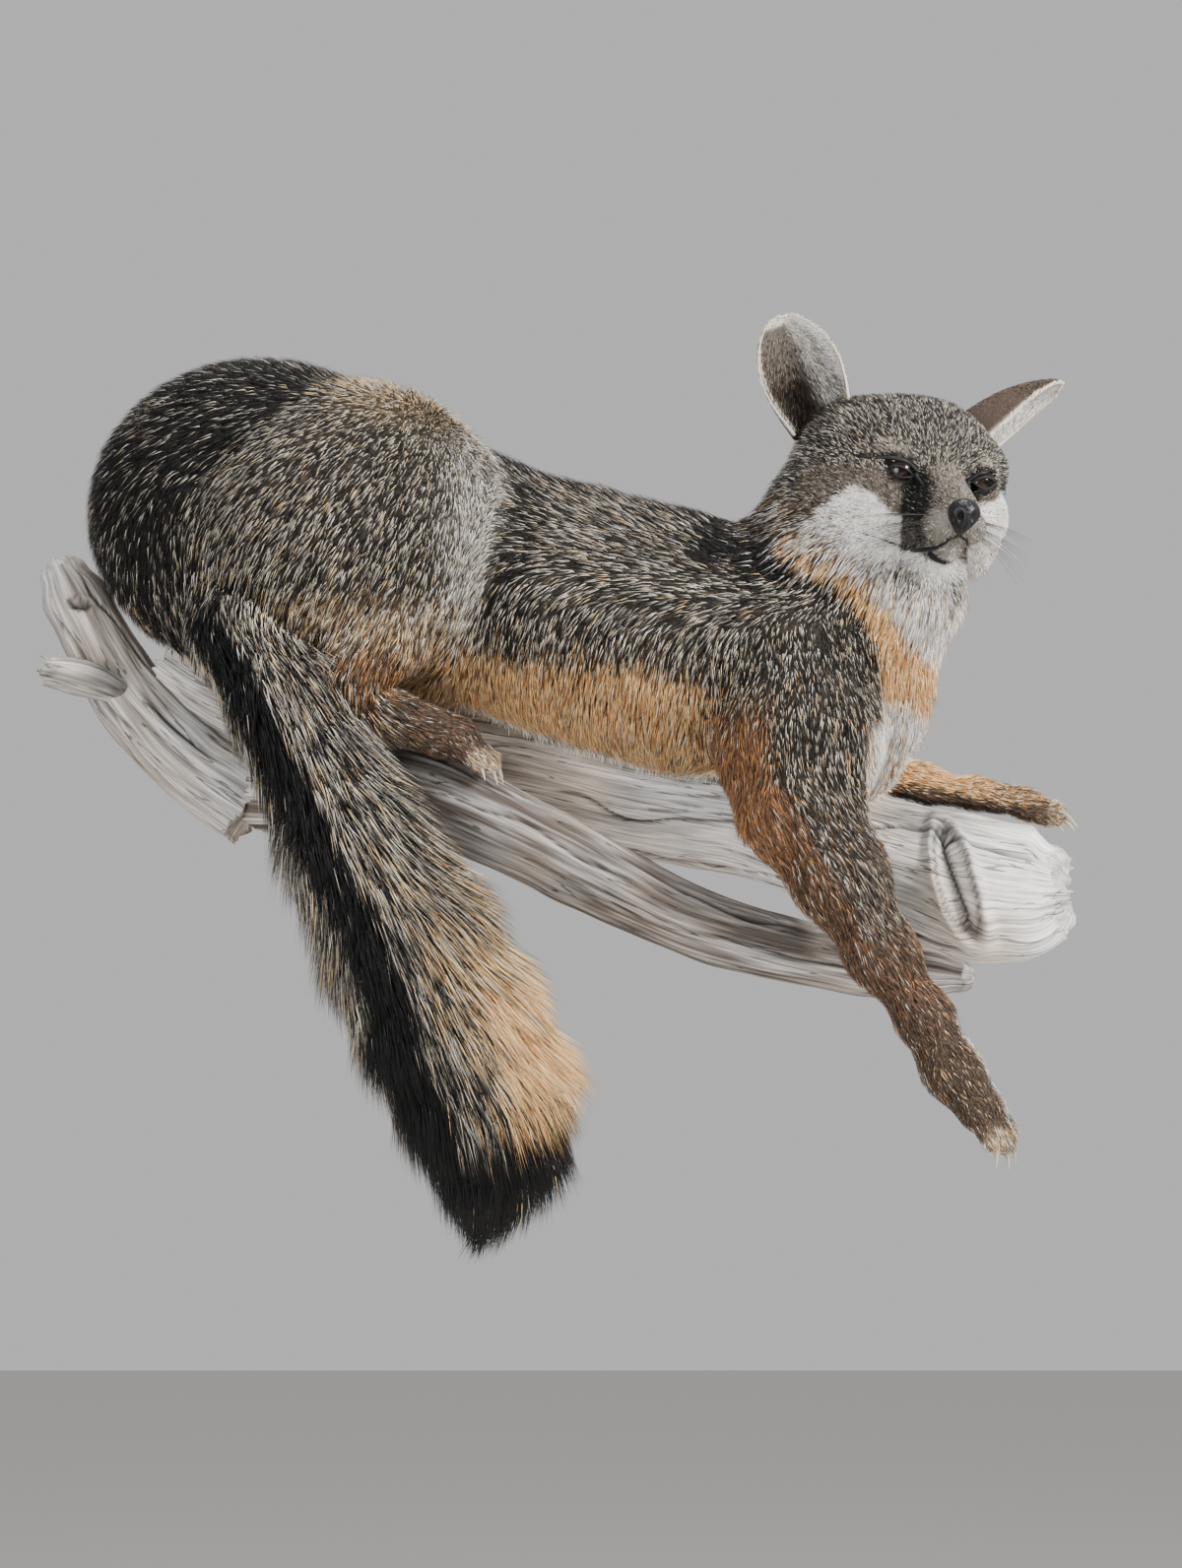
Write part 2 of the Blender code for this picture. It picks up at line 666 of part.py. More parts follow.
# -------------------------------------------------------------- fox's details
def ear_shell(name, base, axis, opening, material):
    """A cupped, round-tipped ear as a closed shell."""
    axis = Vector(axis).normalized()
    opening = Vector(opening)
    opening = (opening - axis * opening.dot(axis)).normalized()
    side = axis.cross(opening)
    rows, columns = 8, 8
    outer, inner = [], []
    for row in range(rows):
        share = row / (rows - 1)
        taper = 1.0 if share < 0.45 else math.sqrt(1.0 - ((share - 0.45) / 0.57) ** 2)
        width = EAR_HALF_WIDTH * (0.78 + 0.22 * math.sin(math.pi * min(share, 0.5))) * taper
        depth = width * (0.95 - 0.50 * share)
        wrap = math.radians(115.0 - 35.0 * share)
        for column in range(columns):
            angle = wrap * (2.0 * column / (columns - 1) - 1.0)
            place = base + axis * (EAR_LENGTH * share)
            across = side * math.sin(angle) * width - opening * math.cos(angle) * depth
            normal = (side * math.sin(angle) / width - opening * math.cos(angle) / depth)
            normal.normalize()
            outer.append(place + across + normal * EAR_THICKNESS * 0.5)
            inner.append(place + across - normal * EAR_THICKNESS * 0.5)
    half = rows * columns
    faces = []
    for row in range(rows - 1):
        for column in range(columns - 1):
            a = row * columns + column
            quad = (a, a + 1, a + columns + 1, a + columns)
            faces.append(quad)
            faces.append(tuple(half + i for i in reversed(quad)))
    rim = [c for c in range(columns)]
    rim += [r * columns + columns - 1 for r in range(1, rows)]
    rim += [(rows - 1) * columns + c for c in range(columns - 2, -1, -1)]
    rim += [r * columns for r in range(rows - 2, 0, -1)]
    for a, b in zip(rim, rim[1:] + rim[:1]):
        faces.append((b, a, half + a, half + b))
    ear = mesh_object(name, outer + inner, faces, material)
    face_outward(ear)
    return ear


def face_outward(obj):
    mesh = bmesh.new()
    mesh.from_mesh(obj.data)
    bmesh.ops.recalc_face_normals(mesh, faces=mesh.faces)
    bmesh.ops.triangulate(mesh, faces=mesh.faces)
    mesh.to_mesh(obj.data)
    mesh.free()


def claw(name, root, heading, down, material):
    """A curved, pointed claw; its blunt root sits inside the toe."""
    heading = Vector(heading).normalized()
    down = (Vector(down) - heading * Vector(down).dot(heading)).normalized()
    side = heading.cross(down)
    rings, sides = 3, 5
    vertices, faces = [], []
    for ring in range(rings):
        share = ring / rings
        centre = root + heading * (CLAW_LENGTH * share) + down * (CLAW_LENGTH * 0.35 * share ** 2)
        radius = CLAW_RADIUS * (1.0 - 0.75 * share)
        for step in range(sides):
            angle = 2 * math.pi * step / sides
            vertices.append(centre + side * math.cos(angle) * radius * 0.8
                            + down * math.sin(angle) * radius)
    vertices.append(root + heading * CLAW_LENGTH + down * CLAW_LENGTH * 0.38)
    for ring in range(rings - 1):
        for step in range(sides):
            a, b = ring * sides + step, ring * sides + (step + 1) % sides
            faces.append((a, b, b + sides, a + sides))
    last = (rings - 1) * sides
    for step in range(sides):
        faces.append((last + step, last + (step + 1) % sides, len(vertices) - 1))
    faces.append(tuple(reversed(range(sides))))
    made = mesh_object(name, vertices, faces, material)
    face_outward(made)
    return made


def ball(name, centre, radii, segments, rings, material, turn=None):
    mesh = bmesh.new()
    bmesh.ops.create_uvsphere(mesh, u_segments=segments, v_segments=rings, radius=1.0)
    shape = Matrix.Diagonal((*radii, 1.0))
    rotation = turn.to_4x4() if turn is not None else Matrix.Identity(4)
    mesh.transform(Matrix.Translation(centre) @ rotation @ shape)
    data = bpy.data.meshes.new(name)
    mesh.to_mesh(data)
    mesh.free()
    data.materials.append(material)
    data.shade_smooth()
    obj = bpy.data.objects.new(name, data)
    bpy.context.scene.collection.objects.link(obj)
    return obj


def add_eyes_and_nose(head, materials):
    turn = HEAD_TURN.to_matrix()
    for name, side in (("eye_right", -1), ("eye_left", 1)):
        centre = head_point((side * EYE_OFFSET, 0.0, 0.0))
        eye = ball(name, centre, [EYE_RADIUS] * 3, 12, 7, materials["eye"], turn)
        cut_away(head, eye)
    nose = ball("nose", head_point(NOSE_PAD[0]), NOSE_PAD[1], 10, 7, materials["nose"], turn)
    cut_away(head, nose)


def add_ears(head, materials):
    turn = HEAD_TURN.to_matrix()
    shapes = {
        "ear_right": ((-0.0530, 0.040, 0.020), (-0.46, 0.30, 0.90), (-0.25, -0.95, 0.0)),
        "ear_left": ((0.0290, 0.044, 0.022), (0.80, 0.22, 0.58), (0.50, -0.42, -0.75)),
    }
    for name, (base, axis, opening) in shapes.items():
        ear = ear_shell(name, head_point(base), turn @ Vector(axis), turn @ Vector(opening),
                        materials["ear"])
        cut_away(ear, head)
        keep_largest(ear)


def add_claws(pieces, materials):
    for part, paw in PAWS.items():
        down = paw.heading.cross(paw.across)
        if down.z > 0:
            down = -down
        for number in range(4):
            _, tip, heading = paw.toe(number)
            root = tip + heading * paw.toe_radius * 0.3
            made = claw(f"claw_{part}_{number + 1}", root, heading, down, materials["claw"])
            cut_away(pieces[part], made)


# --------------------------------------------------------------- wall fixing
def add_wall_plate(materials):
    mesh = bmesh.new()
    bmesh.ops.create_cube(mesh, size=1.0)
    shape = Matrix.Diagonal((PLATE_WIDTH, PLATE_DEPTH, PLATE_HEIGHT, 1.0))
    mesh.transform(Matrix.Translation((0.0, -PLATE_DEPTH / 2, 0.0)) @ shape)
    data = bpy.data.meshes.new("wall_plate")
    mesh.to_mesh(data)
    mesh.free()
    data.materials.append(materials["plate"])
    plate = bpy.data.objects.new("wall_plate", data)
    bpy.context.scene.collection.objects.link(plate)
    bevel = plate.modifiers.new("bevel", "BEVEL")
    bevel.width = PLATE_BEVEL
    bevel.segments = 1


def main():
    for obj in list(bpy.data.objects):
        bpy.data.objects.remove(obj)
    materials = {
        "grizzled": finish_material("fur_grizzled", (0.19, 0.17, 0.15), 0.85),
        "rufous": finish_material("fur_rufous", (0.36, 0.20, 0.10), 0.85),
        "ear": finish_material("fur_ear", (0.42, 0.36, 0.30), 0.80),
        "eye": finish_material("eye_glass", (0.05, 0.03, 0.02), 0.08),
        "nose": finish_material("nose_leather", (0.02, 0.02, 0.02), 0.35),
        "claw": finish_material("claw_horn", (0.30, 0.26, 0.20), 0.40),
        "wood": finish_material("driftwood", (0.50, 0.48, 0.45), 0.75),
        "plate": finish_material("plate_wood", (0.30, 0.22, 0.15), 0.70),
    }
    fox_nodes = {
        "trunk": (880, materials["grizzled"]),
        "neck": (360, materials["grizzled"]),
        "head": (940, materials["grizzled"]),
        "haunch_right": (400, materials["grizzled"]),
        "haunch_left": (280, materials["grizzled"]),
        "hind_foot_right": (240, materials["rufous"]),
        "hind_foot_left": (200, materials["rufous"]),
        "arm_right": (280, materials["grizzled"]),
        "forearm_right": (240, materials["rufous"]),
        "forepaw_right": (260, materials["rufous"]),
        "arm_left": (200, materials["grizzled"]),
        "forearm_left": (160, materials["rufous"]),
        "forepaw_left": (240, materials["rufous"]),
        "tail_root": (280, materials["grizzled"]),
        "tail_middle": (250, materials["grizzled"]),
        "tail_tip": (260, materials["grizzled"]),
    }
    wood_nodes = {
        "log": (600, materials["wood"]),
        "lower_branch": (360, materials["wood"]),
        "knob_branch": (360, materials["wood"]),
    }
    pieces = share_out(FOX, fox_value, FOX_LATTICE, fox_nodes)
    share_out(WOOD, wood_value, WOOD_LATTICE, wood_nodes)
    add_eyes_and_nose(pieces["head"], materials)
    add_ears(pieces["head"], materials)
    add_claws(pieces, materials)
    add_wall_plate(materials)


if __name__ == "__main__":
    main()
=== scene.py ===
"""Looks of the mounted gray fox: its skin, its coat of tufts and the wood.

World frame: metres, +Z up.  The wall is the plane Y = 0 and the room is on
its -Y side.  The forms are the part's own; the skin lies inside them by the
depth of the coat, and the tufts reach back out to them.
"""
import math

import bmesh
import bpy
import numpy as np
from mathutils import Euler, Matrix, Vector
from mathutils.bvhtree import BVHTree


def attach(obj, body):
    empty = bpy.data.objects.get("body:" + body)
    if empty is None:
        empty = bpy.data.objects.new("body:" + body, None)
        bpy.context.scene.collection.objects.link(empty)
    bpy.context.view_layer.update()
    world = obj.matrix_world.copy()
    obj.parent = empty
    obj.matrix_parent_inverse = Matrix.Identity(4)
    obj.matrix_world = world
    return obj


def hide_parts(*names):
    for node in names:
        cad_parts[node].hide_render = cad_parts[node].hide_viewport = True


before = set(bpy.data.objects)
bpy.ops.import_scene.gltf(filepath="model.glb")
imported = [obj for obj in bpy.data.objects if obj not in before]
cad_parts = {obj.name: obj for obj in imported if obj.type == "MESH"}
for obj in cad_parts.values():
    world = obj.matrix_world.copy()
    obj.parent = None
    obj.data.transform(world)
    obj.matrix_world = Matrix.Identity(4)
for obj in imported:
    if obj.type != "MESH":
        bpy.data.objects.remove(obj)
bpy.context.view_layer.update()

RANDOM = np.random.default_rng(7)

# ------------------------------------------------------------ driving sizes
SEAM = 0.0006            # gap between the wood and the wall plate
WOOD_GAP = 0.0020        # gap between the coat and the wood it rests on
FAR = 0.030              # reach of one primitive's influence
WALL_CLEARANCE = 0.006   # free space between the coat and the wall
ROOM = np.array((0.0, -1.0, 0.0))        # from the wall to the room

PLATE_DEPTH = 0.010      # the wall plate, from the wall to the wood

EYE_RADIUS = 0.0092
EYE_OFFSET = 0.0208      # eye centre to the middle of the face
EAR_LENGTH = 0.062
EAR_HALF_WIDTH = 0.0210
CLAW_LENGTH = 0.0100
CLAW_RADIUS = 0.0016

HEAD_ORIGIN = Vector((0.1755, -0.1520, 0.1385))   # midway between the eyes
HEAD_TURN = Euler((math.radians(19.0), math.radians(4.5), math.radians(10.5)))

# ------------------------------------------------- skeleton: link = start,
# end, start radius, end radius; egg = centre, radii
TRUNK_LINKS = [
    ((-0.150, -0.086, 0.140), (-0.075, -0.085, 0.108), 0.066, 0.063),
    ((-0.075, -0.085, 0.108), (0.000, -0.085, 0.084), 0.063, 0.062),
    ((0.000, -0.085, 0.084), (0.055, -0.087, 0.068), 0.062, 0.062),
    ((0.055, -0.087, 0.068), (0.110, -0.090, 0.060), 0.062, 0.058),
    ((0.118, -0.092, 0.055), (0.142, -0.094, 0.034), 0.046, 0.030),
    ((0.128, -0.090, 0.030), (0.136, -0.086, 0.004), 0.034, 0.020),
]
RUMP_EGG = ((-0.180, -0.090, 0.140), (0.088, 0.064, 0.085))
NECK_LINKS = [
    ((0.112, -0.098, 0.084), (0.134, -0.111, 0.112), 0.049, 0.048),
    ((0.138, -0.102, 0.042), (0.160, -0.128, 0.086), 0.030, 0.034),
]
NAPE_LINK = ((0.134, -0.111, 0.112), (0.146, -0.120, 0.150), 0.048, 0.043)
HAUNCH_RIGHT_EGG = ((-0.124, -0.121, 0.119), (0.083, 0.064, 0.083))
HAUNCH_LEFT_EGG = ((-0.122, -0.060, 0.106), (0.074, 0.047, 0.070))
TAIL_POINTS = [   # centre line and radius
    ((-0.190, -0.112, 0.104), 0.032),
    ((-0.172, -0.134, 0.064), 0.033),
    ((-0.150, -0.148, 0.022), 0.034),
    ((-0.119, -0.156, -0.041), 0.040),
    ((-0.091, -0.156, -0.093), 0.046),
    ((-0.071, -0.150, -0.130), 0.048),
    ((-0.053, -0.142, -0.165), 0.047),
    ((-0.047, -0.137, -0.191), 0.039),
    ((-0.049, -0.134, -0.212), 0.024),
    ((-0.053, -0.132, -0.232), 0.006),
]
TAIL_FLATNESS = 1.25      # how much thinner the tail is from wall to room

FORELEG_RIGHT = [
    ((0.104, -0.118, 0.046), 0.047),
    ((0.104, -0.128, 0.008), 0.043),
    ((0.103, -0.138, -0.026), 0.031),
    ((0.1204, -0.145, -0.062), 0.0235),
    ((0.1397, -0.148, -0.101), 0.0165),
    ((0.1600, -0.150, -0.134), 0.0125),
    ((0.1714, -0.152, -0.158), 0.0130),
    ((0.1850, -0.155, -0.178), 0.0125),
]
FORELEG_LEFT = [
    ((0.112, -0.062, 0.040), 0.040),
    ((0.128, -0.050, 0.016), 0.026),
    ((0.146, -0.046, 0.006), 0.016),
    ((0.176, -0.047, 0.001), 0.0125),
    ((0.206, -0.048, -0.006), 0.0110),
    ((0.232, -0.050, -0.010), 0.0115),
]
HIND_RIGHT = [
    ((-0.108, -0.138, 0.062), 0.030),
    ((-0.124, -0.144, 0.036), 0.021),
    ((-0.136, -0.142, 0.026), 0.0155),
    ((-0.104, -0.138, 0.019), 0.0140),
    ((-0.068, -0.133, 0.008), 0.0125),
]
HIND_LEFT = [
    ((-0.080, -0.046, 0.070), 0.030),
    ((-0.120, -0.036, 0.058), 0.020),
    ((-0.130, -0.030, 0.056), 0.0135),
    ((-0.104, -0.026, 0.053), 0.0120),
    ((-0.072, -0.024, 0.050), 0.0105),
]

# Head sizes in the head's own frame: +X its left, +Y its back, +Z its crown.
CRANIUM = ((0.0, 0.036, 0.006), (0.040, 0.046, 0.037))
TEMPLE_RIGHT = ((-0.036, 0.042, 0.006), (0.024, 0.028, 0.026))
TEMPLE_LEFT = ((0.030, 0.042, 0.002), (0.022, 0.026, 0.024))
CHEEK = ((0.026, 0.022, -0.018), (0.025, 0.034, 0.024))
RUFF = ((0.034, 0.044, -0.024), (0.021, 0.027, 0.027))
BROW = ((0.018, 0.008, 0.007), (0.013, 0.016, 0.008))
WHISKER_PAD = ((0.0075, -0.036, -0.0245), (0.0095, 0.014, 0.0095))
SNOUT = ((0.0, 0.006, -0.014), (0.0, -0.040, -0.0210), 0.0205, 0.0115)
BRIDGE = ((0.0, 0.000, -0.003), (0.0, -0.046, -0.0150), 0.0125, 0.0075)
JAW = ((0.0, 0.012, -0.034), (0.0, -0.036, -0.0360), 0.0160, 0.0070)
ORBIT = ((0.0230, -0.0150, 0.0015), 0.0085)
NOSE_PAD = ((0.0, -0.0525, -0.0185), (0.0085, 0.0075, 0.0085))

# Driftwood: centre line points and radii.
LOG_POINTS = [
    ((-0.232, -0.060, 0.066), 0.019),
    ((-0.196, -0.055, 0.044), 0.024),
    ((-0.150, -0.050, 0.026), 0.028),
    ((-0.095, -0.045, 0.017), 0.029),
    ((-0.037, -0.040, 0.009), 0.030),
    ((0.021, -0.039, -0.005), 0.031),
    ((0.085, -0.039, -0.016), 0.030),
    ((0.150, -0.044, -0.038), 0.033),
    ((0.196, -0.050, -0.053), 0.039),
    ((0.226, -0.052, -0.058), 0.038),
    ((0.242, -0.052, -0.058), 0.031),
]
BRANCH_POINTS = [
    ((-0.170, -0.068, 0.000), 0.026),
    ((-0.128, -0.086, -0.006), 0.026),
    ((-0.080, -0.100, -0.016), 0.024),
    ((-0.020, -0.104, -0.044), 0.021),
    ((0.050, -0.098, -0.079), 0.0178),
    ((0.126, -0.090, -0.098), 0.0160),
    ((0.188, -0.085, -0.106), 0.0130),
]
KNOB_POINTS = [
    ((-0.178, -0.066, -0.014), 0.022),
    ((-0.212, -0.066, 0.010), 0.022),
    ((-0.243, -0.066, 0.042), 0.0205),
    ((-0.266, -0.066, 0.078), 0.0185),
    ((-0.286, -0.066, 0.116), 0.0175),
]
FLANGE = ((-0.262, -0.092, 0.050), (0.026, 0.020, 0.0085))


# ---------------------------------------------------------- implicit forms
class Form:
    """One primitive: a signed distance, its box and the part it belongs to."""

    def __init__(self, part, distance, low, high, blend, sign=1, overshoot=None, along=None):
        self.part = part
        self.distance = distance
        self.overshoot = overshoot        # how far points lie past a link's ends
        self.along = along
        self.low = np.array(low, dtype=np.float32) - FAR
        self.high = np.array(high, dtype=np.float32) + FAR
        self.blend = blend
        self.sign = sign

    def near(self, points):
        return np.all((points > self.low) & (points < self.high), axis=1)


def link(part, start, end, start_radius, end_radius, blend, flat=None):
    """A tapered round link; flat = (axis, factor) makes it thinner along axis."""
    start = np.array(start, dtype=np.float32)
    along = np.array(end, dtype=np.float32) - start
    length_squared = float(along @ along)

    def distance(points):
        offset = points - start
        share = np.clip(offset @ along / length_squared, 0.0, 1.0)
        offset = offset - share[:, None] * along
        if flat:
            axis = np.array(flat[0], dtype=np.float32)
            offset = offset + np.outer(offset @ axis, axis) * (flat[1] - 1.0)
        radius = start_radius + share * (end_radius - start_radius)
        return np.sqrt((offset * offset).sum(axis=1)) - radius

    def overshoot(points):
        share = (points - start) @ along / length_squared
        return np.abs(share - np.clip(share, 0.0, 1.0)) * math.sqrt(length_squared)

    reach = max(start_radius, end_radius)
    low = np.minimum(start, start + along) - reach
    high = np.maximum(start, start + along) + reach
    return Form(part, distance, low, high, blend, overshoot=overshoot, along=along)


def egg(part, centre, radii, blend, turn=None, sign=1):
    """An ellipsoid, turned by a 3 x 3 rotation."""
    centre = np.array(centre, dtype=np.float32)
    radii = np.array(radii, dtype=np.float32)
    axes = np.array(turn if turn is not None else Matrix.Identity(3), dtype=np.float32)

    def distance(points):
        scaled = (points - centre) @ axes / radii
        size = np.sqrt((scaled * scaled).sum(axis=1)) + 1e-9
        slope = np.sqrt(((scaled / radii) ** 2).sum(axis=1)) + 1e-9
        return size * (size - 1.0) / slope

    reach = radii.max()
    return Form(part, distance, centre - reach, centre + reach, blend, sign)


def chain(parts, points, blend, flat=None):
    """Links through (point, radius) pairs; parts names the node of each link."""
    pairs = zip(parts, points[:-1], points[1:])
    return [link(part, a[0], b[0], a[1], b[1], blend, flat) for part, a, b in pairs]


def soft_min(first, second, reach):
    share = np.clip(0.5 + 0.5 * (second - first) / reach, 0.0, 1.0)
    return second + (first - second) * share - reach * share * (1.0 - share)


def evaluate(forms, points):
    """Signed distance of the soft union of all forms."""
    value = np.full(len(points), FAR, dtype=np.float32)
    for form in forms:
        near = form.near(points)
        distance = form.distance(points[near])
        if form.sign > 0:
            value[near] = soft_min(value[near], distance, form.blend)
        else:
            value[near] = -soft_min(-value[near], distance, form.blend)
    return value


# ------------------------------------------------------------ the fox's form
def head_point(local):
    return HEAD_ORIGIN + HEAD_TURN.to_matrix() @ Vector(local)


def mirrored(local, side):
    return (local[0] * side, local[1], local[2])


def head_forms():
    turn = HEAD_TURN.to_matrix()
    forms = [link("head", *NAPE_LINK, 0.020)]
    for centre, radii in (CRANIUM, TEMPLE_RIGHT, TEMPLE_LEFT):
        forms.append(egg("head", head_point(centre), radii, 0.012, turn))
    for side in (-1, 1):
        for centre, radii in (CHEEK, RUFF, BROW):
            place = head_point(mirrored(centre, side))
            forms.append(egg("head", place, radii, 0.012, turn))
    for start, end, start_radius, end_radius in (SNOUT, BRIDGE, JAW):
        ends = head_point(start), head_point(end)
        forms.append(link("head", *ends, start_radius, end_radius, 0.008))
    for side in (-1, 1):
        place = head_point(mirrored(WHISKER_PAD[0], side))
        forms.append(egg("head", place, WHISKER_PAD[1], 0.004, turn))
        place = head_point(mirrored(ORBIT[0], side))
        forms.append(egg("head", place, [ORBIT[1]] * 3, 0.008, turn, sign=-1))
    return forms


OUTER_TOE = 0.80          # length of the outer toes against the middle ones


class Paw:
    """Four toes with their claws, fanned out across the end of a leg."""

    def __init__(self, part, base, heading, across, toe_length, toe_radius, spread):
        self.part = part
        self.base = Vector(base)
        self.heading = Vector(heading).normalized()
        self.across = Vector(across).normalized()
        self.toe_length = toe_length
        self.toe_radius = toe_radius
        self.spread = spread

    def toe(self, number):
        """Root, tip and direction of toe 0 to 3; the middle two reach further."""
        offset = (number - 1.5) * self.spread
        middle = 1.0 if number in (1, 2) else OUTER_TOE
        root = self.base + self.across * offset * 0.6
        tip = self.base + self.across * offset + self.heading * self.toe_length * middle
        return root, tip, (tip - root).normalized()

    def forms(self):
        forms = []
        for number in range(4):
            root, tip, _ = self.toe(number)
            forms.append(link(self.part, root, tip, self.toe_radius * 1.1,
                              self.toe_radius, 0.004))
        return forms


PAWS = {paw.part: paw for paw in (
    Paw("forepaw_right", (0.1850, -0.1550, -0.1780), (0.55, -0.05, -0.83), (0.45, 0.80, 0.30),
        0.0180, 0.0060, 0.0082),
    Paw("forepaw_left", (0.2320, -0.0500, -0.0100), (0.95, -0.02, -0.30), (0.05, 1.00, 0.00),
        0.0190, 0.0060, 0.0080),
    Paw("hind_foot_right", (-0.0660, -0.1330, 0.0070), (0.76, 0.0, -0.65), (0.25, 0.93, 0.25),
        0.0190, 0.0062, 0.0080),
    Paw("hind_foot_left", (-0.0720, -0.0240, 0.0500), (0.95, -0.02, -0.05), (0.05, 0.95, 0.12),
        0.0160, 0.0052, 0.0066))}


def fox_forms():
    forms = [link("trunk", *entry, 0.030) for entry in TRUNK_LINKS]
    forms.append(egg("trunk", *RUMP_EGG, 0.030))
    forms.append(egg("haunch_right", *HAUNCH_RIGHT_EGG, 0.010))
    forms.append(egg("haunch_left", *HAUNCH_LEFT_EGG, 0.016))
    forms += [link("neck", *entry, 0.022) for entry in NECK_LINKS]
    forms += head_forms()
    forms += chain(["arm_right"] * 2 + ["forearm_right"] * 3 + ["forepaw_right"] * 2,
                   FORELEG_RIGHT, 0.012)
    forms += chain(["arm_left"] * 2 + ["forearm_left"] * 2 + ["forepaw_left"],
                   FORELEG_LEFT, 0.010)
    forms += chain(["haunch_right"] * 2 + ["hind_foot_right"] * 2, HIND_RIGHT, 0.008)
    forms += chain(["haunch_left"] * 2 + ["hind_foot_left"] * 2, HIND_LEFT, 0.008)
    tail_parts = ["tail_root"] * 3 + ["tail_middle"] * 2 + ["tail_tip"] * 4
    forms += chain(tail_parts, TAIL_POINTS, 0.008, ((0.0, 1.0, 0.0), TAIL_FLATNESS))
    for paw in PAWS.values():
        forms += paw.forms()
    return forms


def wood_forms():
    forms = chain(["log"] * (len(LOG_POINTS) - 1), LOG_POINTS, 0.012)
    forms += chain(["lower_branch"] * (len(BRANCH_POINTS) - 1), BRANCH_POINTS, 0.012)
    forms += chain(["knob_branch"] * (len(KNOB_POINTS) - 1), KNOB_POINTS, 0.012)
    forms.append(egg("knob_branch", *FLANGE, 0.004, Euler((0.0, 0.2, 0.3)).to_matrix()))
    return forms


FOX = fox_forms()
WOOD = wood_forms()


def wood_value(points):
    """The wood, planed off where the wall plate meets it."""
    plane = points[:, 1] + PLATE_DEPTH + SEAM
    return np.maximum(evaluate(WOOD, points), plane)


def fox_value(points):
    """The coat's outer surface, pressed in by the wood and clear of the wall."""
    value = np.maximum(evaluate(FOX, points), WOOD_GAP - wood_value(points))
    return np.maximum(value, points[:, 1] + WALL_CLEARANCE)


# -------------------------------------------------------- lattice to surface
CORNERS = np.array([(i, j, k) for i in (0, 1) for j in (0, 1) for k in (0, 1)])


def corner_groups(chosen):
    """Splits some of a cell's corners into groups joined by the cell's edges."""
    groups = []
    for corner in chosen:
        joined = [g for g in groups
                  if any(np.abs(CORNERS[corner] - CORNERS[o]).sum() == 1 for o in g)]
        groups = [g for g in groups if g not in joined]
        groups.append(sum(joined, []) + [corner])
    return sorted(groups, key=len)


def cell_faces():
    """The corners of a cell's six faces, each in turn round its face."""
    faces = []
    for axis in range(3):
        for side in (0, 1):
            face = [c for c in range(8) if CORNERS[c][axis] == side]
            faces.append((face[0], face[1], face[3], face[2]))
    return faces


def corners_to_drop(inside):
    """The inner corners a cell must lose to be crossed by one plain sheet."""
    inner = corner_groups([c for c in range(8) if inside[c]])
    outer = corner_groups([c for c in range(8) if not inside[c]])
    if len(inner) > 1:
        return sum(inner[:-1], [])
    if len(outer) > 1:
        gap = outer[0][0]
        return [c for c in range(8) if np.abs(CORNERS[c] - CORNERS[gap]).sum() == 1][:1]
    for a, b, c, d in cell_faces():
        if inside[a] == inside[c] and inside[b] == inside[d] and inside[a] != inside[b]:
            return [a if inside[a] else b]
    return []


def untangle(values):
    """Drops lattice points until no cell is crossed by two sheets of surface."""
    table = np.zeros((256, 8), dtype=bool)
    for pattern in range(256):
        table[pattern, corners_to_drop([bool(pattern >> c & 1) for c in range(8)])] = True
    shape = values.shape
    cells = [None]
    while len(cells):
        inside = values < 0
        pattern = np.zeros([n - 1 for n in shape], dtype=np.int32)
        for number, (i, j, k) in enumerate(CORNERS):
            pattern |= inside[i:shape[0] - 1 + i, j:shape[1] - 1 + j,
                              k:shape[2] - 1 + k].astype(np.int32) << number
        cells = np.argwhere(table.any(axis=1)[pattern])
        drops = table[pattern[tuple(cells.T)]]
        for number, corner in enumerate(CORNERS):
            values[tuple((cells[drops[:, number]] + corner).T)] = 1e-5
    return values


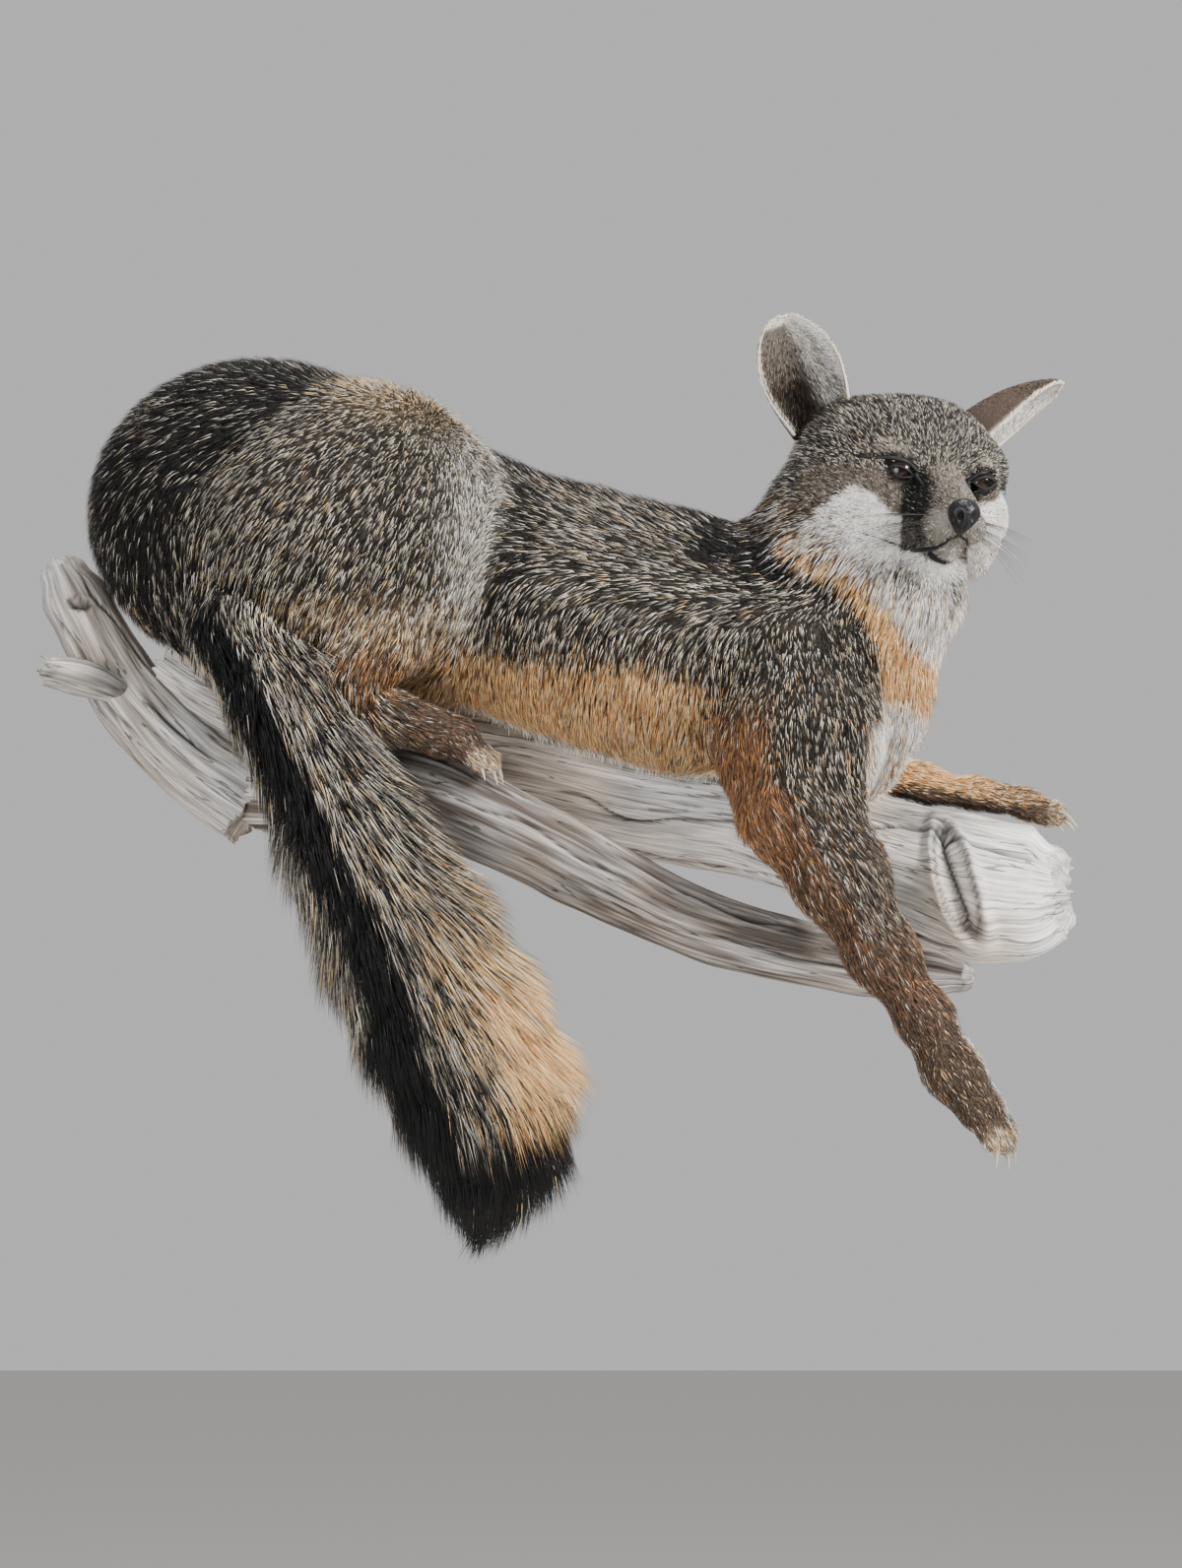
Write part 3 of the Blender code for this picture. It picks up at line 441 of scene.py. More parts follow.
def net_surface(values, low, step):
    """Quads round the zero level of a lattice, one vertex in each mixed cell."""
    inside = values < 0
    nx, ny, nz = inside.shape
    count = sum(inside[i:nx - 1 + i, j:ny - 1 + j, k:nz - 1 + k].astype(np.int8)
                for i, j, k in CORNERS)
    mixed = (count > 0) & (count < 8)
    cells = np.argwhere(mixed)
    index = np.full(mixed.shape, -1, dtype=np.int64)
    index[mixed] = np.arange(len(cells))
    corner_values = np.stack([values[tuple((cells + corner).T)] for corner in CORNERS], axis=1)
    total = np.zeros((len(cells), 3))
    crossings = np.zeros(len(cells))
    for a in range(8):
        for b in range(a + 1, 8):
            if np.abs(CORNERS[a] - CORNERS[b]).sum() != 1:
                continue
            va, vb = corner_values[:, a], corner_values[:, b]
            crossed = (va < 0) != (vb < 0)
            share = np.where(crossed, va / np.where(crossed, va - vb, 1.0), 0.0)
            place = CORNERS[a] + share[:, None] * (CORNERS[b] - CORNERS[a])
            total += np.where(crossed[:, None], place, 0.0)
            crossings += crossed
    vertices = low + step * (cells + total / crossings[:, None])
    quads = []
    for axis in range(3):
        u, v = (axis + 1) % 3, (axis + 2) % 3
        size = list(inside.shape)
        start = [slice(1, n - 1) for n in size]
        start[axis] = slice(0, size[axis] - 1)
        end = list(start)
        end[axis] = slice(1, size[axis])
        first, second = inside[tuple(start)], inside[tuple(end)]
        edges = np.argwhere(first != second)
        leaving = first[tuple(edges.T)]
        base = edges + np.array([0 if n == axis else 1 for n in range(3)])
        corners = []
        for du, dv in ((-1, -1), (0, -1), (0, 0), (-1, 0)):
            cell = base.copy()
            cell[:, u] += du
            cell[:, v] += dv
            corners.append(index[tuple(cell.T)])
        quad = np.stack(corners, axis=1)
        quad[~leaving] = quad[~leaving][:, ::-1]
        quads.append(quad)
    return vertices, np.concatenate(quads)


def settle(vertices, value_of, limit, rounds=3):
    """Moves vertices along the slope of value_of until they lie on its zero."""
    points = vertices.astype(np.float32)
    probe = 0.0004
    for _ in range(rounds):
        value = value_of(points)
        slope = np.zeros_like(points)
        for axis in range(3):
            step = np.zeros(3, dtype=np.float32)
            step[axis] = probe
            slope[:, axis] = (value_of(points + step) - value_of(points - step)) / (2 * probe)
        steep = np.maximum((slope * slope).sum(axis=1), 0.25)
        move = -slope * (value / steep)[:, None]
        points = points + np.clip(move, -limit, limit)
    return points


def keep_largest(obj):
    """Drops specks that a seam has cut loose from a piece."""
    mesh = bmesh.new()
    mesh.from_mesh(obj.data)
    mesh.verts.ensure_lookup_table()
    seen = set()
    islands = []
    for vertex in mesh.verts:
        if vertex.index in seen:
            continue
        island, stack = [], [vertex]
        seen.add(vertex.index)
        while stack:
            here = stack.pop()
            island.append(here)
            for edge in here.link_edges:
                other = edge.other_vert(here)
                if other.index not in seen:
                    seen.add(other.index)
                    stack.append(other)
        islands.append(island)
    islands.sort(key=len)
    for island in islands[:-1]:
        bmesh.ops.delete(mesh, geom=island, context="VERTS")
    mesh.to_mesh(obj.data)
    mesh.free()


# ------------------------------------------------------------------ the coat
DEPTH, LENGTH, WIDTH, DENSITY, LIE = range(5)
# For each part: the depth of its coat, the length and width of its tufts, in metres, the tufts
# in a square metre, and the lie of the hair: +1 or -1 along the part's links, or a direction.
COATS = {
    "trunk": (0.0062, 0.0125, 0.00050, 7.0e5, -1),
    "neck": (0.0066, 0.0140, 0.00048, 7.5e5, -1),
    "head": (0.0014, 0.0060, 0.00036, 14e5, -1),
    "haunch_right": (0.0062, 0.0118, 0.00048, 8.0e5, (-0.50, 0.0, -1.0)),
    "haunch_left": (0.0060, 0.0130, 0.00060, 4.0e5, (-0.50, 0.0, -1.0)),
    "hind_foot_right": (0.0014, 0.0055, 0.00038, 11e5, 1),
    "hind_foot_left": (0.0014, 0.0060, 0.00050, 5e5, 1),
    "arm_right": (0.0048, 0.0100, 0.00044, 9e5, 1),
    "forearm_right": (0.0022, 0.0080, 0.00040, 11e5, 1),
    "forepaw_right": (0.0012, 0.0045, 0.00034, 13e5, 1),
    "arm_left": (0.0040, 0.0110, 0.00050, 6e5, 1),
    "forearm_left": (0.0018, 0.0070, 0.00040, 10e5, 1),
    "forepaw_left": (0.0012, 0.0045, 0.00034, 13e5, 1),
    "tail_root": (0.0120, 0.0250, 0.00056, 9e5, 1),
    "tail_middle": (0.0160, 0.0320, 0.00056, 11e5, 1),
    "tail_tip": (0.0190, 0.0360, 0.00056, 13e5, 1),
}
PARTS = list(COATS)
HEAD, TRUNK = PARTS.index("head"), PARTS.index("trunk")
TAIL_PARTS = ("tail_root", "tail_middle", "tail_tip")
PART_SPREAD = 0.006       # how softly one part's coat passes into the next
TAIL_DEPTH, BRUSH_DEPTH = 0.0065, 0.0130   # the tail's coat at its root, and what its brush adds
RUFF_DEPTH = 0.0042       # what the ruff adds to the depth of the head's coat
CHEEK_PRESS = 0.0045      # how far the left cheek is pressed in


def unit(rows):
    return rows / (np.linalg.norm(rows, axis=-1, keepdims=True) + 1e-12)


def form_flow(form):
    """The lie of the hair on a form."""
    flow = COATS[form.part][LIE]
    if isinstance(flow, tuple):
        along = np.array(flow)
    elif form.along is not None:
        along = flow * np.array(form.along) / np.linalg.norm(form.along)
    else:
        along = np.array((-1.0, 0.0, -0.5))
    if form.part in ("trunk", "neck"):
        along = along + np.array((0.0, 0.0, -0.35))
    return along / np.linalg.norm(along)


def head_local(points):
    """World points in the head's own frame."""
    turn = np.array(HEAD_TURN.to_matrix())
    return (points - np.array(HEAD_ORIGIN)) @ turn


def body_map(points):
    """Each point's share of every part, and the lie of the hair there."""
    nearest = np.full((len(PARTS), len(points)), FAR, dtype=np.float32)
    flows = np.zeros((len(PARTS), len(points), 3), dtype=np.float32)
    for form in FOX:
        if form.sign < 0:
            continue
        row = PARTS.index(form.part)
        near = form.near(points)
        distance = form.distance(points[near])
        if form.overshoot:
            distance = distance + form.overshoot(points[near])
        closer = distance < nearest[row, near]
        index = np.flatnonzero(near)[closer]
        nearest[row, index] = distance[closer]
        flows[row, index] = form_flow(form)
    share = np.exp(-(nearest - nearest.min(axis=0)) / PART_SPREAD)
    share /= share.sum(axis=0)
    local = head_local(points)
    away = unit(local - np.array((0.0, -0.060, -0.012)))
    away[:, 2] -= 0.25 * np.clip((local[:, 1] - 0.01) / 0.04, 0.0, 1.0)
    flows[HEAD] = away @ np.array(HEAD_TURN.to_matrix()).T
    low = ramp(-spine_height(points), -0.015, 0.035)
    flows[TRUNK] += low[:, None] * np.array((0.75, 0.0, -1.3))
    return share, unit(np.einsum("pn,pnk->nk", share, flows))


def blended(share, quantity):
    """A coat quantity mixed from the parts' shares."""
    return np.array([coat[quantity] for coat in COATS.values()]) @ share


def ramp(value, start, end):
    """Smooth 0 to 1 as value goes from start to end."""
    share = np.clip((value - start) / (end - start), 0.0, 1.0)
    return share * share * (3.0 - 2.0 * share)


def head_fluff(points):
    """0 on the short fur of the face, 1 on the ruff and nape."""
    local = head_local(points)
    return ramp(local[:, 1] - 0.3 * local[:, 2], -0.002, 0.050)


def tail_fluff(points):
    """0 at the root of the tail and 1 where its brush is full."""
    share, _, _ = chain_place(points, TAIL_POINTS)
    return ramp(share, 0.05, 0.45)


def tail_share(share):
    return sum(share[PARTS.index(part)] for part in TAIL_PARTS)


def coat_depth(points):
    share, _ = body_map(points)
    depth = blended(share, DEPTH)
    tail = tail_share(share)
    depth = depth + tail * (TAIL_DEPTH + BRUSH_DEPTH * tail_fluff(points) - depth)
    fluff = head_fluff(points) * share[HEAD]
    return depth + RUFF_DEPTH * fluff


def skin_value(points):
    """The skin under the coat; the left cheek is pressed a little flatter."""
    local = head_local(points)
    cheek = ramp(local[:, 0], 0.026, 0.042) * ramp(-local[:, 2], -0.014, 0.004)
    cheek = cheek * ramp(-local[:, 1], -0.050, -0.030)
    cheek = cheek * ramp(-np.linalg.norm(local, axis=1), -0.085, -0.070)
    return fox_value(points) + coat_depth(points) + CHEEK_PRESS * cheek


# ------------------------------------------------------- details of the face
EYES = {
    # side: gaze, outward direction, shift and half width of the slit, upper and lower lid
    -1: ((-0.30, -0.95, 0.06), (-1.0, 0.10, 0.26), -0.0016, 0.0060, 0.0017, 0.0032),
    1: ((0.30, -0.95, 0.06), (1.0, 0.10, 0.10), -0.0016, 0.0060, 0.0026, 0.0032),
}
LID_THICKNESS = 0.0012
LID_INSET = 0.0008         # how far the slit between the lids cuts into the eyeball's place
MOUTH_GROOVE = (0.0018, 0.0011)    # depth and half width of the closed mouth
NOSE_GROOVE = (0.0010, 0.0007)     # the same of the groove below the nose
# Lines on the left half of the face, in the head's frame, which are mirrored to the right half.
# The edge of the lips is shorter on the left, where LEFT_MOUTH takes its place: the paler left side
# of the mouth is painted light.
MOUTH_LINE = [(0.0000, -0.0480, -0.0308), (0.0040, -0.0445, -0.0336), (0.0079, -0.0351, -0.0360),
              (0.0112, -0.0254, -0.0380), (0.0155, -0.0221, -0.0372), (0.0219, -0.0205, -0.0357),
              (0.0300, -0.0187, -0.0341), (0.0400, -0.0160, -0.0327)]
LEFT_MOUTH = [(0.0000, -0.0480, -0.0308), (0.0045, -0.0465, -0.0324), (0.0085, -0.0390, -0.0348),
              (0.0112, -0.0290, -0.0368)]
LOWER_LIP = [(0.0105, -0.0270, -0.0392), (0.0085, -0.0275, -0.0411), (0.0045, -0.0310, -0.0425),
             (0.0000, -0.0330, -0.0430)]
LID_LINE = [(0.0428, -0.0006, 0.0054), (0.0365, -0.0038, 0.0060), (0.0301, -0.0061, 0.0062),
            (0.0235, -0.0075, 0.0058), (0.0178, -0.0086, 0.0042), (0.0140, -0.0100, 0.0005)]
BROW_LINE = [(0.034, -0.004, 0.0125), (0.020, -0.009, 0.0115)]
TEAR_LINE = [(0.0150, -0.0095, 0.0000), (0.0136, -0.0130, -0.0040), (0.0131, -0.0200, -0.0080)]


def line_distance(local, line):
    """Distance of points, folded to one side of the face, from a line of points."""
    folded = local.copy()
    folded[:, 0] = np.abs(folded[:, 0])
    best = np.full(len(local), np.inf)
    for start, end in zip(np.array(line[:-1]), np.array(line[1:])):
        along = end - start
        share = np.clip((folded - start) @ along / (along @ along), 0.0, 1.0)
        best = np.minimum(best, np.linalg.norm(folded - start - share[:, None] * along, axis=1))
    return best


def eye_frame(side):
    """Centre, gaze, outward and upward directions of an eye, in the head's frame."""
    gaze, outward = (np.array(v, dtype=float) for v in EYES[side][:2])
    gaze /= np.linalg.norm(gaze)
    outward -= gaze * (outward @ gaze)
    outward /= np.linalg.norm(outward)
    upward = np.cross(gaze, outward)
    if upward[2] < 0:
        upward = -upward
    return np.array((side * EYE_OFFSET, 0.0, 0.0)), gaze, outward, upward


def lid_gap(local, side):
    """Signed distance to the slit between the lids, negative inside it."""
    centre, gaze, outward, upward = eye_frame(side)
    _, _, shift, half_width, upper, lower = EYES[side]
    offset = local - centre
    x, y = offset @ outward - shift, offset @ upward
    arch = 1.0 - (x / half_width) ** 2
    slit = np.maximum(y - upper * arch, -lower * arch - y) * 0.8
    return np.where(offset @ gaze > 0, slit, 0.02)


def mouth_height(local):
    """Height of the mouth's line, by how far forward a point is."""
    return np.interp(local[:, 1], [-0.048, -0.044, -0.035, -0.025, -0.020],
                     [-0.0308, -0.0336, -0.0360, -0.0380, -0.0342])


def mouth_distance(local):
    """How far a point of the muzzle is from the line of the mouth."""
    return line_distance(local, MOUTH_LINE)


def face_value(points):
    """The skin with its lids, lips and the groove under the nose."""
    value = skin_value(points)
    local = head_local(points)
    for side in EYES:
        centre = np.array((side * EYE_OFFSET, 0.0, 0.0))
        radius = np.linalg.norm(local - centre, axis=1)
        value = soft_min(value, radius - EYE_RADIUS - LID_THICKNESS, 0.003)
        hollow = np.maximum(lid_gap(local, side), EYE_RADIUS - LID_INSET - radius)
        hollow = np.where(radius < EYE_RADIUS + 0.006, hollow, 0.02)
        value = np.maximum(value, -hollow)
    value = value + MOUTH_GROOVE[0] * np.exp(-(mouth_distance(local) / MOUTH_GROOVE[1]) ** 2)
    lip = local[:, 2] - mouth_height(local)
    groove = np.exp(-(local[:, 0] / NOSE_GROOVE[1]) ** 2) * ramp(-local[:, 1], 0.040, 0.046)
    return value + NOSE_GROOVE[0] * groove * (lip > 0)


# ------------------------------------------------------------------ markings
def colour(red, green, blue):
    """Linear colour from display values 0 to 255."""
    share = np.array((red, green, blue)) / 255.0
    return np.where(share > 0.04, ((share + 0.055) / 1.055) ** 2.4, share / 12.92)


# kind of hair: colour at the root, along the band and at the tip
HAIRS = {
    "salt": (colour(36, 31, 27), colour(238, 228, 211), colour(42, 37, 32)),
    "pepper": (colour(32, 29, 27), colour(37, 34, 31), colour(13, 12, 12)),
    "black": (colour(11, 11, 12), colour(9, 9, 11), colour(7, 7, 9)),
    "rufous": (colour(178, 128, 84), colour(214, 150, 92), colour(200, 136, 80)),
    "tan": (colour(226, 186, 136), colour(252, 214, 158), colour(248, 204, 144)),
    "white": (colour(230, 226, 219), colour(250, 248, 244), colour(254, 253, 251)),
    "grey": (colour(80, 75, 70), colour(152, 146, 136), colour(120, 113, 104)),
    "brown": (colour(56, 46, 39), colour(108, 88, 72), colour(82, 66, 54)),
    "rust": (colour(84, 62, 48), colour(146, 104, 74), colour(120, 84, 60)),
}
KINDS = list(HAIRS)


def spine_height(points):
    """Height above the axis of the trunk."""
    xs = [-0.18, -0.15, -0.075, 0.0, 0.055, 0.110, 0.130, 0.142]
    zs = [0.145, 0.140, 0.108, 0.084, 0.068, 0.060, 0.040, 0.030]
    return points[:, 2] - np.interp(points[:, 0], xs, zs)


def chain_place(points, chain_points):
    """Share of the way down a chain of links, and the offset from its axis."""
    centres = np.array([c for c, _ in chain_points])
    lengths = np.linalg.norm(np.diff(centres, axis=0), axis=1)
    starts = np.concatenate([[0.0], np.cumsum(lengths)])
    best = np.full(len(points), np.inf)
    share = np.zeros(len(points))
    offset = np.zeros((len(points), 3))
    heading = np.zeros((len(points), 3))
    for number, length in enumerate(lengths):
        along = (centres[number + 1] - centres[number]) / length
        reach = np.clip((points - centres[number]) @ along, 0.0, length)
        aside = points - centres[number] - reach[:, None] * along
        distance = (aside * aside).sum(axis=1)
        closer = distance < best
        best[closer] = distance[closer]
        share[closer] = ((starts[number] + reach) / starts[-1])[closer]
        offset[closer] = aside[closer]
        heading[closer] = along
    return share, offset, heading


def fill(mix, kind_shares, mask):
    """Lays a mixture of hairs over the others where the mask is 1."""
    target = np.zeros(len(KINDS))
    for kind, amount in kind_shares.items():
        target[KINDS.index(kind)] = amount
    mix *= (1.0 - mask)[:, None]
    mix += mask[:, None] * target


BLACK = {"black": 1.0}
WHITE = {"white": 0.97, "tan": 0.03}
ORANGE = {"tan": 0.70, "rufous": 0.30}
GRIZZLED = {"salt": 0.34, "pepper": 0.44, "black": 0.19, "tan": 0.03}
DARK_GRIZZLED = {"salt": 0.24, "pepper": 0.42, "black": 0.31, "tan": 0.03}
# Where the orange of the chest and the white of the throat begin: (height, x).
CHEST_EDGE = [(-0.030, 0.134), (0.006, 0.138), (0.018, 0.144), (0.045, 0.145), (0.063, 0.140),
              (0.077, 0.132), (0.083, 0.123), (0.090, 0.112), (0.100, 0.100)]
THROAT_EDGE = [(0.048, 0.172), (0.052, 0.162), (0.062, 0.153), (0.072, 0.1455), (0.080, 0.139),
               (0.088, 0.1285), (0.096, 0.1166), (0.104, 0.1044), (0.115, 0.094), (0.130, 0.088)]
# The upper edge of the white cheek: (distance from the middle of the face, height).
CHEEK_EDGE = [(0.0170, -0.0230), (0.0195, -0.0218), (0.0260, -0.0195), (0.0348, -0.0125),
              (0.0445, -0.0095), (0.0523, -0.0165), (0.0600, -0.0250), (0.0700, -0.0400)]


def on_edge(edge, values):
    places, levels = zip(*edge)
    return np.interp(values, places, levels)


def hair_mix(points, share):
    """How likely each kind of hair is at each point."""
    part = {name: share[row] for row, name in enumerate(PARTS)}
    mix = np.zeros((len(points), len(KINDS)))
    fill(mix, GRIZZLED, np.ones(len(points)))
    x, y, z = points.T
    height = spine_height(points)
    thigh = part["haunch_right"] + part["haunch_left"]
    body = part["trunk"] + part["neck"] + thigh
    spine = ramp(height, 0.024, 0.044) * ramp(np.abs(y + 0.086), 0.048, 0.026)
    rump_top = ramp(z - 0.090 - 0.79 * (x + 0.250), -0.002, 0.014) * ramp(-x, 0.100, 0.125)
    fill(mix, DARK_GRIZZLED, part["neck"] + part["arm_right"] + part["forearm_right"])
    fill(mix, {"salt": 0.12, "pepper": 0.38, "black": 0.50}, body * spine)
    # painted shadow: darker fur on the flank in the crease in front of the thighs
    painted_crease_shadow = np.exp(-((x + 0.036 - 0.25 * (z - 0.10)) / 0.010) ** 2) * ramp(height, -0.045, -0.030)
    fill(mix, {"salt": 0.10, "pepper": 0.45, "black": 0.45}, 0.85 * part["trunk"] * painted_crease_shadow)
    # Darker towards the left end of the rump: partly the dark stripe, partly painted shade on the
    # end away from the light.
    fill(mix, {"salt": 0.24, "pepper": 0.40, "black": 0.36}, part["trunk"] * ramp(-x, 0.160, 0.200))
    fill(mix, {"salt": 0.07, "pepper": 0.38, "black": 0.55}, body * rump_top)
    rump_stripe_and_shade = ramp(-x, 0.198, 0.222) * ramp(z, 0.020, 0.050)
    fill(mix, {"salt": 0.08, "pepper": 0.38, "black": 0.54}, body * rump_stripe_and_shade)
    nape = part["trunk"] * ramp(x, 0.050, 0.075) * ramp(height, 0.034, 0.044)
    fill(mix, {"black": 0.75, "pepper": 0.25}, nape)
    collar = np.exp(-((z - 0.1065 + 0.20 * (x - 0.067)) / 0.014) ** 2)
    collar = collar * ramp(x, 0.045, 0.060) * ramp(-x, -0.110, -0.098)
    fill(mix, {"brown": 0.48, "pepper": 0.44, "tan": 0.08}, part["neck"] * ramp(z, 0.100, 0.112))
    collar = np.minimum(1.0, 1.4 * collar)
    fill(mix, {"black": 0.80, "pepper": 0.20}, collar * (part["neck"] + part["trunk"]))
    # thighs: tan above, a pale front edge, rusty below
    hip = thigh * ramp(z, 0.150, 0.185) * ramp(x, -0.150, -0.110)
    fill(mix, {"tan": 0.24, "salt": 0.44, "pepper": 0.32}, hip)
    front = ramp(thigh, 0.25, 0.50) * ramp(x, -0.085, -0.055) * ramp(height, -0.060, -0.045)
    fill(mix, {"salt": 0.55, "white": 0.25, "grey": 0.20}, front)
    fill(mix, {"tan": 0.22, "brown": 0.46, "salt": 0.32}, thigh * ramp(-z, -0.085, -0.062))
    fill(mix, {"brown": 0.70, "rufous": 0.30}, thigh * ramp(-z, -0.058, -0.040))
    rear = (thigh + part["trunk"] + part["tail_root"]) * ramp(-x, 0.222, 0.245)
    fill(mix, {"brown": 0.50, "tan": 0.20, "pepper": 0.30}, rear * ramp(-z, -0.095, -0.070))
    # belly
    edge = np.interp(x, [-0.07, -0.02, 0.02, 0.06], [-0.046, -0.040, -0.029, -0.032])
    under = part["trunk"] * ramp(edge - height, -0.006, 0.008) * ramp(x, -0.150, -0.120)
    fill(mix, {"tan": 0.72, "rufous": 0.28}, under)
    hidden = ramp(y, -0.095, -0.075) * ramp(-height, 0.040, 0.050)
    fill(mix, {"white": 0.8, "tan": 0.2}, part["trunk"] * hidden)
    # chest and throat
    breast = part["trunk"] + part["neck"] + part["arm_right"] + part["arm_left"]
    orange = breast * ramp(x - on_edge(CHEST_EDGE, z - 0.003), -0.004, 0.003)
    fill(mix, ORANGE, orange)
    fill(mix, WHITE, orange * ramp(-z, -0.034, -0.027))
    local = head_local(points)
    hang = z - 0.005          # the hair hangs below its root
    throat = ramp(x - on_edge(THROAT_EDGE, hang), -0.003, 0.003) * ramp(hang, 0.045, 0.053)
    throat = throat * ramp(-local[:, 1], -0.052, -0.040) * ramp(-local[:, 2], 0.020, 0.028)
    fill(mix, WHITE, throat * (part["neck"] + part["trunk"]))
    limb_markings(mix, points, part)
    tail_markings(mix, points, part)
    head_markings(mix, points, part, throat)
    return mix / mix.sum(axis=1, keepdims=True)


def limb_markings(mix, points, part):
    """Rusty backs, dark wrists and paws, and pale toes."""
    right = part["arm_right"] + part["forearm_right"] + part["forepaw_right"]
    right = np.minimum(1.0, 1.3 * right)
    share, offset, _ = chain_place(points, FORELEG_RIGHT)
    back = unit(offset) @ np.array((-0.88, 0.0, -0.47))
    behind = right * ramp(back, 0.10, 0.50) * ramp(share, 0.08, 0.22)
    fill(mix, {"rust": 0.55, "rufous": 0.20, "brown": 0.25}, behind)
    fill(mix, {"brown": 0.52, "rust": 0.30, "pepper": 0.18}, behind * ramp(share, 0.30, 0.50))
    fill(mix, {"pepper": 0.40, "brown": 0.36, "grey": 0.17, "salt": 0.07},
         (right - behind) * ramp(share, 0.25, 0.50))
    fill(mix, {"brown": 0.55, "rust": 0.28, "pepper": 0.17}, right * ramp(share, 0.58, 0.68))
    fill(mix, {"brown": 0.80, "pepper": 0.20}, right * ramp(share, 0.76, 0.84))
    # painted highlight: grey and white on the side of the right wrist and paw that faces the light
    outer = unit(offset) @ np.array((0.94, 0.0, 0.34))
    pale = ramp(outer, 0.70, 0.92) * ramp(share, 0.78, 0.88)
    fill(mix, {"grey": 0.55, "white": 0.45}, right * pale)
    left = part["arm_left"] + part["forearm_left"] + part["forepaw_left"]
    fill(mix, {"tan": 0.60, "rufous": 0.40}, left * ramp(points[:, 0], 0.125, 0.145))
    share, offset, _ = chain_place(points, FORELEG_LEFT)
    lower = ramp(-unit(offset)[:, 2], -0.10, 0.35) * ramp(share, 0.35, 0.55)
    fill(mix, {"brown": 0.7, "black": 0.3}, left * lower)
    fill(mix, {"brown": 0.75, "pepper": 0.25}, part["forepaw_left"] * 0.6)
    feet = part["hind_foot_right"] + part["hind_foot_left"]
    fill(mix, {"brown": 0.62, "pepper": 0.22, "rust": 0.16}, feet)
    for name, paw in PAWS.items():
        reach = (points - np.array(paw.base)) @ np.array(paw.heading)
        toes = part[name] * ramp(reach, 0.006, 0.016)
        fill(mix, {"tan": 0.45, "grey": 0.35, "white": 0.20}, toes * 0.7)


def tail_markings(mix, points, part):
    """The tail's grizzled top, tan side, black stripe and black tip."""
    tail = part["tail_root"] + part["tail_middle"] + part["tail_tip"]
    share, offset, heading = chain_place(points, TAIL_POINTS)
    side = unit(np.cross(heading, ROOM))
    across = unit(offset)
    rightward = -(across * side).sum(axis=1)
    toward = -across[:, 1]
    angle = np.degrees(np.arctan2(rightward, toward))      # 0 faces the room
    fill(mix, {"salt": 0.36, "pepper": 0.42, "black": 0.18, "tan": 0.04}, tail)
    lower = ramp(share, 0.40, 0.72)
    fill(mix, {"salt": 0.32, "tan": 0.24, "pepper": 0.38, "black": 0.06},
         tail * lower * ramp(angle, -25.0, 20.0))
    fill(mix, {"tan": 0.72, "rufous": 0.20, "salt": 0.08},
         tail * ramp(share, 0.55, 0.82) * ramp(angle, 0.0, 40.0))
    # the black stripe, narrower and nearer the room at mid-tail, with grizzled hair beyond it
    stops = [0.28, 0.43, 0.55, 0.64, 0.72]
    centre = np.interp(share, stops, [46.0, 40.0, 29.0, 40.0, 58.0])
    half = np.interp(share, stops, [24.0, 20.0, 16.0, 20.0, 26.0])
    stripe = ramp(np.abs(angle + centre), half + 5.0, half - 4.0) * ramp(share, 0.02, 0.10)
    fill(mix, BLACK, tail * stripe)
    fill(mix, BLACK, tail * ramp(share, 0.80, 0.87))


